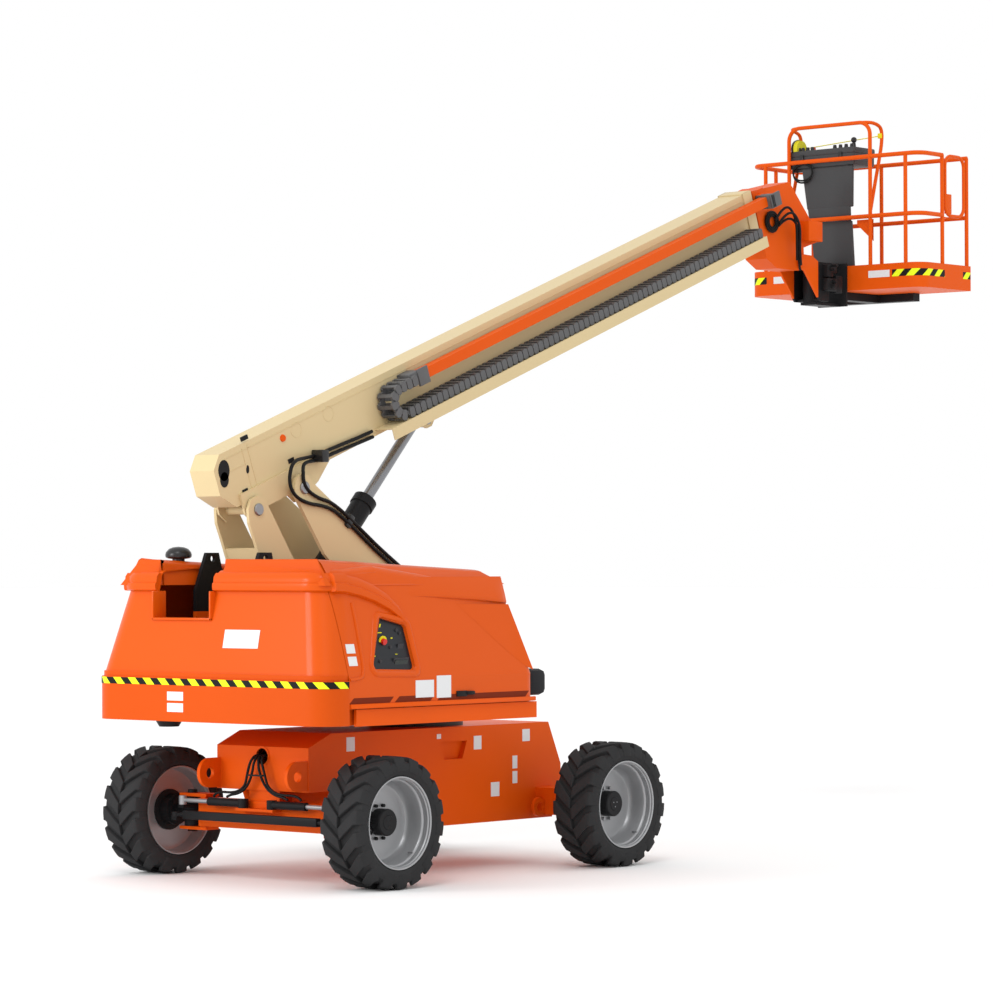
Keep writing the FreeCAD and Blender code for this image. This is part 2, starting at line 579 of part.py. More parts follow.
barrel = cut("steer_barrel_cut",
             round_bar("steer_barrel_bar", "steer_barrel_radius - 3", "steer_gland - steer_foot", "Y",
                       "-wheelbase / 2 - cylinder_arm", "steer_foot", "steer_height"),
             round_bar("steer_barrel_bore", "steer_rod_radius + seat_gap", "steer_gland - steer_foot", "Y",
                       "-wheelbase / 2 - cylinder_arm", "steer_foot + 60", "steer_height"))
foot = round_bar("steer_foot_eye", "36", "2 * steer_barrel_radius", "Z", "-wheelbase / 2 - cylinder_arm",
                 "steer_foot", "steer_height - steer_barrel_radius")
rod = round_bar("steer_rod_bar", "steer_rod_radius", "kingpin_side - arm_inset - steer_foot - 150", "Y",
                "-wheelbase / 2 - cylinder_arm", "steer_foot + 150", "steer_height")
rod_eye = round_bar("steer_rod_eye", "28", "2 * steer_barrel_radius", "Z", "-wheelbase / 2 - cylinder_arm",
                    "kingpin_side - arm_inset", "steer_height - steer_barrel_radius")
steer_barrel = fuse("steer_barrel_solid", barrel, foot)
steer_rod = fuse("steer_rod_solid", rod, rod_eye)
subpart("steer_barrel_right", mirrored("steer_barrel_mirror", steer_barrel))
subpart("steer_rod_right", mirrored("steer_rod_mirror", steer_rod))
subpart("steer_barrel_left", fuse("steer_barrel_copy", barrel, foot))
subpart("steer_rod_left", fuse("steer_rod_copy", rod, rod_eye))

# ---------------------------------------------------------------------------------------------
# Swing bearing and turntable
# ---------------------------------------------------------------------------------------------
ring = cut("ring_cut",
           round_bar("ring_disc", "ring_radius", "turntable_bottom - chassis_top - running_gap", "Z",
                     "swing_x", "0", "chassis_top"),
           round_bar("ring_bore", "ring_radius - 90", "turntable_bottom", "Z", "swing_x", "0", "0"))
subpart("swing_bearing", ring)

tray_floor = box("turntable_floor", "turntable_front + 1400", "2 * sill_side", "floor_plate",
                 "-1400", "-sill_side", "turntable_bottom")
side_sill = box("side_sill", "turntable_front + 1580", "24", "sill_top - turntable_bottom",
                "-1580", "-sill_side", "turntable_bottom")
front_sill = box("front_sill", "24", "2 * sill_side", "sill_top - turntable_bottom",
                 "turntable_front - 24", "-sill_side", "turntable_bottom")
subpart("turntable_base", fuse("turntable_base_solid", tray_floor, side_sill,
                               mirrored("side_sill_left", side_sill), front_sill))

FRAME_PLATE = [("-1400", "turntable_bottom + floor_plate"), ("-1400", "hood_roof - 150"),
               ("-1290", "hood_roof + 120"), ("-1170", "hood_roof + 120"), ("-1110", "hood_roof - 100"),
               ("-530", "hood_roof - 100"), ("-505", "hood_roof + 50"), ("-415", "hood_roof + 50"),
               ("-390", "hood_roof - 120"), ("turntable_front - 40", "hood_roof - 220"),
               ("turntable_front - 40", "turntable_bottom + floor_plate")]
plates = []
for side, y in (("near", "boom_side - frame_half_gap - frame_plate"), ("far", "boom_side + frame_half_gap")):
    plate = slab(f"frame_plate_{side}", FRAME_PLATE, "frame_plate", y)
    hole = round_bar(f"lug_hole_{side}", "24", "3 * frame_plate", "Y", "-1230", f"{y} - frame_plate",
                     "hood_roof + 78")
    small_hole = round_bar(f"loop_hole_{side}", "20", "3 * frame_plate", "Y", "-460", f"{y} - frame_plate",
                           "hood_roof + 15")
    plates.append(cut(f"frame_wall_{side}", plate, hole, small_hole))
foot_pin = round_bar("arm_foot_pin", "pin_radius", "2 * frame_half_gap + 2 * frame_plate", "Y",
                     "arm_foot_x", "boom_side - frame_half_gap - frame_plate", "arm_foot_z")
cross_plate = box("frame_cross", "20", "2 * frame_half_gap + 2", "300", "-1400",
                  "boom_side - frame_half_gap - 1", "turntable_bottom + floor_plate")
tabs = []
for i, x in enumerate((-1000, -300)):
    for side, y in (("near", "boom_side - frame_half_gap - frame_plate - 100"),
                    ("far", "boom_side + frame_half_gap + frame_plate - 1")):
        tabs.append(box(f"hood_tab_{side}_{i}", "60", "101", "30", f"{x}", y,
                        f"hood_roof + 25 - hood_wall - 175 * ({x} + 1260) / (hood_front + 1110) - 30 - seat_gap"))
lift_frame = fuse("lift_frame_solid", *plates, foot_pin, cross_plate, *tabs)

brackets = []
for side, y in (("near", "boom_side - 130"), ("far", "boom_side + 110")):
    wall = box(f"foot_wall_{side}", "250", "20", "lift_foot_z + 65 - turntable_bottom - floor_plate",
               "lift_foot_x - 135", y, "turntable_bottom + floor_plate")
    brackets.append(wall)

def tail_plan(inset):
    """The counterweight from above: round at the rear, narrower between the side sills."""
    rear, half, inner = f"({inset} - tail_rear)", f"(tail_half - {inset})", "(tail_half - 67)"
    return [(rear, f"-{half}", f"tail_corner - {inset}"), ("-cover_seam - seam_gap", f"-{half}"),
            ("-cover_seam - seam_gap", f"-{inner}"), ("-1400", f"-{inner}"), ("-1400", inner),
            ("-cover_seam - seam_gap", inner), ("-cover_seam - seam_gap", half),
            (rear, half, f"tail_corner - {inset}")]


weight = extruded("tail_block", rounded("tail_block_plan", tail_plan("0"), "XY", "tail_base"),
                  "tail_band - tail_base", UP)
ledge = extruded("tail_ledge_block", rounded("tail_ledge_plan", tail_plan("15"), "XY", "tail_base + 10"),
                 "tail_ledge - tail_base - 10", UP)
subpart("counterweight", fuse("counterweight_solid", weight, ledge))

# ---------------------------------------------------------------------------------------------
# Rear cover and hoods: one moulded shell that leans inwards, split where the real covers part
# ---------------------------------------------------------------------------------------------
def cover_plan(name, inset, height, share):
    """The covers' outline at a height, with a share of the lean."""
    rear = f"({inset} + {share} * lean_rear + 20 - tail_rear)"
    half = f"(cover_half - {inset} - {share} * lean_side)"
    front = f"(hood_front - {inset} - {share} * lean_front)"
    return rounded(name, [(rear, f"-{half}", f"cover_bend - 20 * {share} - {inset}"),
                          (front, f"-{half}", f"hood_bend - 10 * {share} - {inset}"),
                          (front, half, f"hood_bend - 10 * {share} - {inset}"),
                          (rear, half, f"cover_bend - 20 * {share} - {inset}")], "XY", height)


def moulding(name, inset, foot):
    """The covers' rounded shape, or the hollow inside it when inset by the wall."""
    skirt = extruded(f"{name}_skirt", cover_plan(f"{name}_skirt_plan", inset, foot, 0), f"cover_waist - ({foot})", UP)
    lean = doc.addObject("Part::Loft", f"{name}_lean")
    lean.Sections = [cover_plan(f"{name}_low_plan", inset, "cover_waist", 0),
                     cover_plan(f"{name}_high_plan", inset, "cover_top", 1)]
    lean.Solid = True
    lean.Ruled = True
    below_roof = slab(f"{name}_roof", [("-tail_rear - 100", "1000"), ("-tail_rear - 100", f"hood_roof - 25 - {inset}"),
                                       ("-1200", f"hood_roof + 25 - {inset}"),
                                       ("hood_front - 90", f"hood_roof - 150 - {inset}"),
                                       ("hood_front + 100", f"hood_roof - 178 - {inset}"),
                                       ("hood_front + 100", "1000")], "2 * cover_half + 100", "-cover_half - 50")
    block = doc.addObject("Part::MultiCommon", f"{name}_block")
    block.Shapes = [fuse(f"{name}_sides", skirt, lean), below_roof]
    block.Refine = True
    doc.recompute()
    roof = [face for face in block.Shape.Faces if face.CenterOfMass.z > mm.hood_roof - 200
            and face.Surface.TypeId == "Part::GeomPlane" and abs(face.normalAt(0, 0).z) > 0.9]
    eased = doc.addObject("Part::Fillet", f"{name}_eased")
    eased.Base = block
    radius = mm.cover_round - value(inset)
    eased.Edges = [(i, radius, radius) for i, edge in enumerate(block.Shape.Edges, start=1)
                   if sum(any(edge.isSame(other) for other in face.Edges) for face in roof) == 1]
    return eased


def part_of(name, base, low, high, y_low, y_high, foot):
    """The piece of a moulding between two planes across the machine and two along it."""
    piece = doc.addObject("Part::MultiCommon", name)
    piece.Shapes = [base, box(f"{name}_range", f"({high}) - ({low})", f"({y_high}) - ({y_low})",
                              f"hood_roof + 100 - ({foot})", low, y_low, foot)]
    return piece


outer_mould = moulding("mould", "0", "hood_base")
inner_mould = moulding("hollow", "hood_wall", "hood_base - 1")
covers = cut("covers", outer_mould, inner_mould)
OUT = "cover_half + 20"
notch = box("cover_notch", "tail_rear - cover_seam + 10", "560", "hood_roof", "-tail_rear", "boom_side - 280", "1860")
subpart("rear_cover", cut("rear_cover_cut", part_of("rear_cover_shell", covers, "-tail_rear - 10",
                                                    "-cover_seam - seam_gap", f"-{OUT.replace('+', '-')}", OUT,
                                                    "tail_ledge"), notch))

HINGE_EDGE = "frame_half_gap + frame_plate + hood_hinge_gap"
window = slab("panel_window", [("-1414", "1516"), ("-1249", "1869"), ("-1001", "1812"), ("-975", "1501")],
              "250", "-cover_half - 20")
subpart("hood_near", cut("hood_near_cut", part_of("hood_near_shell", covers, "-cover_seam", "hood_front + 10",
                                                  f"-{OUT.replace('+', '-')}", f"boom_side - ({HINGE_EDGE})",
                                                  "hood_base"), window))
subpart("hood_far", part_of("hood_far_shell", covers, "-cover_seam", "hood_front + 10",
                            f"boom_side + {HINGE_EDGE}", OUT, "hood_base"))


def lean_in(z):
    """How far the covers' sides lean in at a height."""
    return f"lean_side * ({z} - cover_waist) / (cover_top - cover_waist)"


PANEL_FACE = "hood_wall + 15 - cover_half"
panel = [slab("control_panel_box", [(f"{PANEL_FACE} + {lean_in('1490')}", "1490"),
                                    (f"{PANEL_FACE} + {lean_in('1885')}", "1885"),
                                    (f"{PANEL_FACE} + 70 + {lean_in('1885')}", "1885"),
                                    (f"{PANEL_FACE} + 70 + {lean_in('1490')}", "1490")], "490", "-1440", "YZ")]
for i, x in enumerate(("-1385", "-1030")):
    panel.append(box(f"control_panel_leg_{i}", "40", "30", "1500 - turntable_bottom - floor_plate", x,
                     f"{PANEL_FACE} + 35", "turntable_bottom + floor_plate"))
subpart("control_panel", fuse("control_panel_solid", *panel))
subpart("engine_block", several("engine_body", box("engine_box", "800", "320", "600", "-950", "700",
                                                   "turntable_bottom + floor_plate")))
subpart("lift_frame", several("turntable_steelwork", lift_frame, *brackets))
subpart("precleaner", several("precleaner_parts",
        cut("precleaner_stem", round_bar("stem_bar", "45", "90", "Z", "-1400", "760", "hood_roof"), outer_mould),
        round_bar("precleaner_cap", "95", "60", "Z", "-1400", "760", "hood_roof + 90")))

# ---------------------------------------------------------------------------------------------
# Boom linkage: arm, rear link and lift cylinder
# ---------------------------------------------------------------------------------------------
ARM = [("boom_pin_x - 104", "boom_pin_z"), ("boom_pin_x - 85", "boom_pin_z - 65"), ("-552", "2307"),
       ("arm_foot_x - 105", "arm_foot_z - 40"), ("arm_foot_x - 50", "arm_foot_z - 100"),
       ("arm_foot_x + 50", "arm_foot_z - 100"), ("arm_foot_x + 112", "arm_foot_z - 20"),
       ("arm_foot_x + 112", "arm_foot_z + 340"), ("arm_foot_x + 53", "arm_foot_z + 405"),
       ("boom_pin_x + 91", "boom_pin_z + 38"), ("boom_pin_x + 45", "boom_pin_z + 90"),
       ("boom_pin_x - 20", "boom_pin_z + 103"), ("boom_pin_x - 80", "boom_pin_z + 68")]
arm_parts = []
for side, y in (("near", "boom_side - arm_inner - arm_plate"), ("far", "boom_side + arm_inner")):
    arm_parts.append(slab(f"arm_plate_{side}", ARM, "arm_plate", y))
hub = round_bar("arm_hub", "65", "2 * arm_inner + 2", "Y", "arm_foot_x", "boom_side - arm_inner - 1", "arm_foot_z")
arm_pin = round_bar("arm_pin", "pin_radius", "2 * arm_inner + 2 * arm_plate + 14", "Y", "boom_pin_x",
                    "boom_side - arm_inner - arm_plate - 7", "boom_pin_z")
arm_bore = round_bar("arm_bore", "pin_radius + seat_gap", "2 * arm_inner + 2 * arm_plate + 20", "Y",
                     "arm_foot_x", "boom_side - arm_inner - arm_plate - 10", "arm_foot_z")
subpart("lift_arm", cut("lift_arm_cut", fuse("lift_arm_solid", *arm_parts, hub, arm_pin), arm_bore))

LINK_PIN_X = "(boom_pin_x - link_pin_back * cos(boom_elevation))"
LINK_PIN_Z = "(boom_pin_z - link_pin_back * sin(boom_elevation))"
LINK = [(f"{LINK_PIN_X} - 100", LINK_PIN_Z), (f"{LINK_PIN_X} - 91", f"{LINK_PIN_Z} - 97"), ("-1237", "2415"),
        ("link_foot_x - 100", "link_foot_z - 70"), ("link_foot_x", "link_foot_z - 100"),
        ("link_foot_x + 90", "link_foot_z - 40"), ("link_foot_x + 100", "link_foot_z + 40"), ("-827", "2262"),
        (f"{LINK_PIN_X} + 96", f"{LINK_PIN_Z} + 34"), (f"{LINK_PIN_X} + 57", f"{LINK_PIN_Z} + 83"),
        (LINK_PIN_X, f"{LINK_PIN_Z} + 100"), (f"{LINK_PIN_X} - 72", f"{LINK_PIN_Z} + 70")]
link_parts = []
for side, y in (("near", "boom_side - link_inner - link_plate"), ("far", "boom_side + link_inner")):
    link_parts.append(slab(f"link_plate_{side}", LINK, "link_plate", y))
link_pin = round_bar("link_pin", "pin_radius", "2 * link_inner + 2 * link_plate + 10", "Y", LINK_PIN_X,
                     "boom_side - link_inner - link_plate - 5", LINK_PIN_Z)
stay = slab("link_stay", [("-1205", "2345"), ("-1095", "2085"), ("-1077", "2093"), ("-1187", "2353")],
            "2 * link_inner + 2", "boom_side - link_inner - 1")
subpart("rear_link", fuse("rear_link_solid", *link_parts, link_pin, stay))

tube = cut("lift_barrel_tube",
           fuse("lift_barrel_solid",
                round_bar("lift_barrel_bar", "lift_barrel_radius", "lift_length - lift_exposed - 50", "X",
                          "50 - lift_length"),
                round_bar("lift_gland", "lift_gland_radius", "70", "X", "-lift_exposed - 70"),
                round_bar("lift_foot_eye", "55", "180", "Y", "-lift_length", "-90")),
           round_bar("lift_barrel_bore", "lift_rod_radius + seat_gap", "lift_length - lift_exposed - 57", "X",
                     "57 - lift_length"))
subpart("lift_barrel", tube, "lift")
subpart("lift_rod", fuse("lift_rod_solid",
                         round_bar("lift_rod_bar", "lift_rod_radius", "lift_exposed + lift_rod_inside", "X",
                                   "-lift_exposed - lift_rod_inside"),
                         round_bar("lift_rod_eye", "60", "140", "Y", "0", "-70"),
                         round_bar("lift_rod_pin", "pin_radius", "boom_width - 2", "Y", "0", "1 - boom_width / 2")), "lift")

# ---------------------------------------------------------------------------------------------
# Boom: three nested box sections with wear pads at the open ends
# ---------------------------------------------------------------------------------------------
def section(name, rear, front, level):
    """A hollow box section; each level nests inside the one before."""
    side, rise = f"{level} * section_step", f"{level} * section_depth_step"
    outer = box(f"{name}_outer", f"({front}) - ({rear})", f"boom_width - 2 * {side}",
                f"boom_depth - 2 * {rise}", rear, f"{side} - boom_width / 2", f"boom_bottom + {rise}")
    inner = box(f"{name}_inner", f"({front}) - ({rear}) + 2", f"boom_width - 2 * {side} - 2 * boom_wall",
                f"boom_depth - 2 * {rise} - 2 * boom_wall", f"({rear}) - 1",
                f"{side} + boom_wall - boom_width / 2", f"boom_bottom + {rise} + boom_wall")
    return outer, inner


def pads(name, front, level):
    """Wear pads inside a section's front end, close round the next section."""
    side, rise = f"{level} * section_step", f"{level} * section_depth_step"
    block = box(f"{name}_pad_block", "wear_pad", f"boom_width - 2 * {side} - 2 * boom_wall + 2",
                f"boom_depth - 2 * {rise} - 2 * boom_wall + 2", f"({front}) - wear_pad - 5",
                f"{side} + boom_wall - 1 - boom_width / 2", f"boom_bottom + {rise} + boom_wall - 1")
    hole = box(f"{name}_pad_hole", "wear_pad + 2",
               f"boom_width - 2 * {side} - 2 * section_step + 2 * seat_gap",
               f"boom_depth - 2 * {rise} - 2 * section_depth_step + 2 * seat_gap", f"({front}) - wear_pad - 6",
               f"{side} + section_step - seat_gap - boom_width / 2",
               f"boom_bottom + {rise} + section_depth_step - seat_gap")
    return cut(f"{name}_pads", block, hole)


def tail_profile(wall, front):
    """The base section from the side, its closed tail cut away above and below."""
    low, high = f"boom_bottom + {wall}", f"boom_bottom + boom_depth - {wall}"
    return [(f"{wall} - boom_rear", f"boom_bottom + 130 + 0.4 * {wall}"),
            (f"{wall} - boom_rear", f"boom_bottom + boom_depth - 90 - 0.4 * {wall}"),
            (f"90 + 0.4 * {wall} - boom_rear", high), (front, high), (front, low),
            (f"130 + 0.4 * {wall} - boom_rear", low)]


outer = slab("base_outer", tail_profile("0", "boom_front"), "boom_width", "-boom_width / 2")
inner = slab("base_inner", tail_profile("boom_wall", "boom_front + 1"), "boom_width - 2 * boom_wall",
             "boom_wall - boom_width / 2")
LUGS = [("-link_pin_back - 100", "150"), ("-link_pin_back - 100", "0"), ("-link_pin_back - 50", "-75"),
        ("50 - link_pin_back", "-75"), ("110 - link_pin_back", "-20"), ("-100", "-20"), ("-55", "-90"),
        ("55", "-90"), ("230", "-30"), ("415", "85"), ("415", "150")]
CYLINDER_LUGS = [("cylinder_pin_out - 160", "boom_bottom + 1"), ("cylinder_pin_out - 55", "-40"),
                 ("cylinder_pin_out - 28", "-62"), ("cylinder_pin_out + 28", "-62"),
                 ("cylinder_pin_out + 62", "-35"), ("cylinder_pin_out + 170", "boom_bottom + 1")]
lugs = []
for side, y, sign in (("near", "-boom_width / 2 - 20", "-1"), ("far", "boom_width / 2", "1")):
    lugs.append(cut(f"pivot_lug_{side}", slab(f"pivot_lug_plate_{side}", LUGS, "20", y),
                    round_bar(f"pivot_bore_{side}", "pin_radius + seat_gap", "40", "Y", "0", f"{y} - 10", "0"),
                    round_bar(f"link_bore_{side}", "pin_radius + seat_gap", "40", "Y", "-link_pin_back",
                              f"{y} - 10", "0")))
for side, y in (("near", "-boom_width / 2"), ("far", "boom_width / 2 - 25")):
    lugs.append(cut(f"cylinder_lug_{side}", slab(f"cylinder_lug_plate_{side}", CYLINDER_LUGS, "25", y),
                    round_bar(f"cylinder_bore_{side}", "pin_radius + seat_gap", "45", "Y", "cylinder_pin_out",
                              f"{y} - 10", "0")))
subpart("boom_base", fuse("boom_base_solid", cut("base_tube", outer, inner),
                          pads("base", "boom_front", 0), *lugs), "boom")
outer, inner = section("mid", "mid_rear", "mid_front", 1)
subpart("boom_mid", fuse("boom_mid_solid", cut("mid_tube", outer, inner), pads("mid", "mid_front", 1)), "boom")
outer, inner = section("fly", "fly_rear", "fly_front", 2)
subpart("boom_fly", cut("fly_tube", outer, inner), "boom")

loop_x, loop_z = "tray_start + 220", "tray_bottom + tray_height + 142.5"
TRAY_FLOOR = f"{loop_z} - loop_radius - seat_gap"
tray_parts = [box("tray_floor_plate", "boom_front - 140 - tray_start", "tray_width", "tray_wall", "tray_start",
                  "-boom_width / 2 - tray_width", f"{TRAY_FLOOR} - tray_wall"),
              box("tray_side_plate", "boom_front - 140 - tray_start", "tray_wall", "tray_height", "tray_start",
                  "-boom_width / 2 - tray_width", "tray_bottom")]
for i, at in enumerate(("tray_start + 300", "tray_start + 1800", "tray_start + 3300", "tray_start + 4800")):
    tray_parts.append(box(f"tray_bracket_{i}", "30", "tray_width - 2", f"{TRAY_FLOOR} - tray_bottom - 2", at,
                          "2 - boom_width / 2 - tray_width", "tray_bottom"))
subpart("cable_tray", fuse("cable_tray_solid", *tray_parts), "boom")

CHAIN_Y = "-boom_width / 2 - tray_width / 2 - chain_width / 2 + 2"
lower = box("chain_lower", "boom_front - 380 - tray_start", "chain_width", "link_height", loop_x, CHAIN_Y, f"{loop_z} - loop_radius")
upper = box("chain_upper", "185", "chain_width", "link_height", loop_x, CHAIN_Y,
            f"{loop_z} + loop_radius - link_height")
disc = round_bar("chain_disc", "loop_radius", "chain_width", "Y", loop_x, CHAIN_Y, loop_z)
eye = round_bar("chain_eye", "loop_radius - link_height", "chain_width + 2", "Y", loop_x, f"{CHAIN_Y} - 1", loop_z)
half = box("chain_half", "loop_radius + 1", "chain_width + 2", "2 * loop_radius - 2 * link_height", loop_x,
           f"{CHAIN_Y} - 1", f"{loop_z} - loop_radius + link_height")
subpart("cable_chain", fuse("cable_chain_solid", cut("chain_loop", disc, eye, half), lower, upper), "boom")

TUBE_Y = "-boom_width / 2 - tray_width / 2 - tube_side / 2 + 20"
tube = box("carrier_bar", "nose_rear + 120 - tray_start - 415", "tube_side", "tube_side", "tray_start + 415",
           TUBE_Y, f"{loop_z} + loop_radius - link_height + 2")
foot = box("carrier_foot", "70", f"-nose_half - ({TUBE_Y} + tube_side - 1)", "110",
           "nose_rear + 40", f"{TUBE_Y} + tube_side - 1", f"{loop_z} + loop_radius - link_height - 12")
subpart("carrier_tube", fuse("carrier_tube_solid", tube, foot), "boom")

NOSE = [("nose_rear", "-120"), ("nose_rear", "470"), ("nose_rear + 540", "396"), ("nose_rear + 760", "-84"),
        ("nose_rear + 760", "-200"), ("nose_rear + 540", "-187"), ("nose_pin_out + 30", "nose_pin_down - 60"),
        ("nose_pin_out - 50", "nose_pin_down - 60"), ("nose_rear + 110", "-240")]
NOSE_VOID = [("nose_rear - 1", "boom_bottom - 40"), ("nose_rear - 1", "462"), ("nose_rear + 534", "388"),
             ("nose_rear + 752", "-84"), ("nose_rear + 752", "-192"), ("nose_rear + 545", "-179"),
             ("nose_pin_out + 60", "nose_pin_down + 80"), ("nose_pin_out - 80", "nose_pin_down + 80"),
             ("nose_rear + 115", "-180")]
nose_fill = box("nose_fill", "fly_front - nose_rear", "2 * nose_half - 2", "boom_depth - 4 * section_depth_step + 30",
                "nose_rear", "1 - nose_half", "boom_bottom + 2 * section_depth_step - 15")
nose_seat = box("nose_seat", "fly_front - nose_rear + 2", "boom_width - 4 * section_step",
                "boom_depth - 4 * section_depth_step", "nose_rear - 1",
                "2 * section_step - boom_width / 2", "boom_bottom + 2 * section_depth_step")
nose_bore = round_bar("nose_bore", "pin_radius + seat_gap", "2 * nose_half + 2", "Y", "nose_pin_out",
                      "-nose_half - 1", "nose_pin_down")
nose_shell = cut("nose_shell", slab("nose_block", NOSE, "2 * nose_half", "-nose_half"),
                 slab("nose_void", NOSE_VOID, "2 * nose_half - 40", "20 - nose_half"))
subpart("fly_nose", cut("fly_nose_cut", fuse("fly_nose_solid", nose_shell, nose_fill), nose_seat, nose_bore), "boom")

# ---------------------------------------------------------------------------------------------
# Platform support, rotator and platform
# ---------------------------------------------------------------------------------------------
LEVEL_X = "(boom_pin_x + nose_pin_out * cos(boom_elevation) - nose_pin_down * sin(boom_elevation))"
LEVEL_Z = "(boom_pin_z + nose_pin_out * sin(boom_elevation) + nose_pin_down * cos(boom_elevation))"
ROTATOR_X = f"({LEVEL_X} + rotator_ahead)"
ROTATOR_BOTTOM = f"({LEVEL_Z} - rotator_low)"
ROTATOR_TOP = f"({ROTATOR_BOTTOM} + rotator_length)"
PLATFORM_REAR = f"({ROTATOR_X} + platform_gap)"
FLOOR = f"({LEVEL_Z} - floor_drop)"
SUPPORT = [(f"{LEVEL_X} - 65", LEVEL_Z), (f"{LEVEL_X} - 45", f"{LEVEL_Z} - 55"),
           (f"{LEVEL_X} + 20", f"{LEVEL_Z} - 75"), (f"{ROTATOR_X} - 90", f"{ROTATOR_BOTTOM} + 5"),
           (f"{ROTATOR_X} + 40", f"{ROTATOR_BOTTOM} + 5"), (f"{ROTATOR_X} + 40", f"{ROTATOR_TOP} - 5"),
           (f"{ROTATOR_X} - 70", f"{ROTATOR_TOP} - 5"), (f"{LEVEL_X} + 120", f"{LEVEL_Z} + 60"),
           (LEVEL_X, f"{LEVEL_Z} + 65"), (f"{LEVEL_X} - 50", f"{LEVEL_Z} + 45")]
support = []
for side, y in (("near", "boom_side - nose_half - 28"), ("far", "boom_side + nose_half + 8")):
    support.append(slab(f"support_plate_{side}", SUPPORT, "20", y))
for height, z in (("low", f"{ROTATOR_BOTTOM} + 5"), ("high", f"{ROTATOR_TOP} - 25")):
    support.append(box(f"support_shelf_{height}", "110", "2 * nose_half + 40", "20", f"{ROTATOR_X} - 70",
                       "boom_side - nose_half - 20", z))
column = round_bar("rotator_column", "rotator_radius", f"{ROTATOR_TOP} - {ROTATOR_BOTTOM}", "Z", f"{ROTATOR_X}",
                   "boom_side", f"{ROTATOR_BOTTOM}")
level_pin = round_bar("level_pin", "pin_radius", "2 * nose_half + 66", "Y", LEVEL_X,
                      "boom_side - nose_half - 33", LEVEL_Z)
subpart("platform_support", fuse("platform_support_solid", *support, column, level_pin))

mount = [box("mount_top", f"{PLATFORM_REAR} - {ROTATOR_X} + 77", "150", "20", f"{ROTATOR_X} - 78", "boom_side - 75",
             f"{ROTATOR_TOP} + running_gap"),
         box("mount_low", f"{PLATFORM_REAR} - {ROTATOR_X} + 80", "150", "24", f"{ROTATOR_X} - 78", "boom_side - 75",
             f"{ROTATOR_BOTTOM} - 24 - running_gap"),
         box("mount_back", "20", "300", f"{ROTATOR_TOP} - {ROTATOR_BOTTOM} + 45", f"{PLATFORM_REAR} - 20", "boom_side - 150",
             f"{ROTATOR_BOTTOM} - 24 - running_gap"),
         box("mount_beam", "690", "120", "70", f"{PLATFORM_REAR} - 1", "boom_side - 60", f"{FLOOR} - 115"),
         box("mount_cross", "100", "860", "70", f"{PLATFORM_REAR} + 590", "boom_side - 430", f"{FLOOR} - 115")]
subpart("platform_mount", fuse("platform_mount_solid", *mount))

FLOOR_LOW, FLOOR_HIGH = "boom_side - platform_width / 2", "boom_side + platform_width / 2"
def floor_plan(name, inset, height):
    """The platform from above, round at all corners but the one beside the gate."""
    rear, front = f"({PLATFORM_REAR} + {inset})", f"({PLATFORM_REAR} + platform_depth - {inset})"
    low, high = f"({FLOOR_LOW} + {inset})", f"({FLOOR_HIGH} - {inset})"
    bend = f"rail_bend + {INSET} - {inset}"
    return rounded(name, [(rear, low, bend), (front, low), (front, high, bend), (rear, high, bend)], "XY", height)


INSET = "(rail_radius + toe_plate + seat_gap)"
floor = extruded("floor_slab", floor_plan("floor_slab_plan", "0", f"{FLOOR} - 45"), "45", UP)
toe = cut("toe_boards", extruded("toe_block", floor_plan("toe_block_plan", "0", f"{FLOOR} - 1"), "toe_height + 1", UP),
          extruded("toe_void", floor_plan("toe_void_plan", "toe_plate", FLOOR), "toe_height + 2", UP))
mat = box("floor_mat", "platform_depth - 260", "platform_width - 120", "5", f"{PLATFORM_REAR} + 200",
          f"{FLOOR_LOW} + 60", f"{FLOOR} - 1")
subpart("platform_floor", fuse("platform_floor_solid", floor, toe, mat))

RAIL, POST = "rail_radius", "(rail_radius - post_inset)"
rear_x, front_x = f"({PLATFORM_REAR} + {INSET})", f"({PLATFORM_REAR} + platform_depth - {INSET})"
near_y, far_y = f"({FLOOR_LOW} + {INSET})", f"({FLOOR_HIGH} - {INSET})"
top_z = f"{FLOOR} + rail_height - {RAIL}"
gate_rear, gate_front = f"({PLATFORM_REAR} + gate_place)", front_x


def elbow(name, radius, x, y, z, quarter, turn=Rotation()):
    """A quarter bend of tube about x, y, z, in the level plane or in another one."""
    bend = doc.addObject("Part::Torus", name)
    bend.setExpression("Radius1", linked("rail_bend"))
    bend.setExpression("Radius2", linked(radius))
    bend.Angle3 = 90
    bend.Placement = Placement(Vector(), turn * Rotation(Vector(0, 0, 1), 90 * quarter))
    return move(bend, x, y, z)


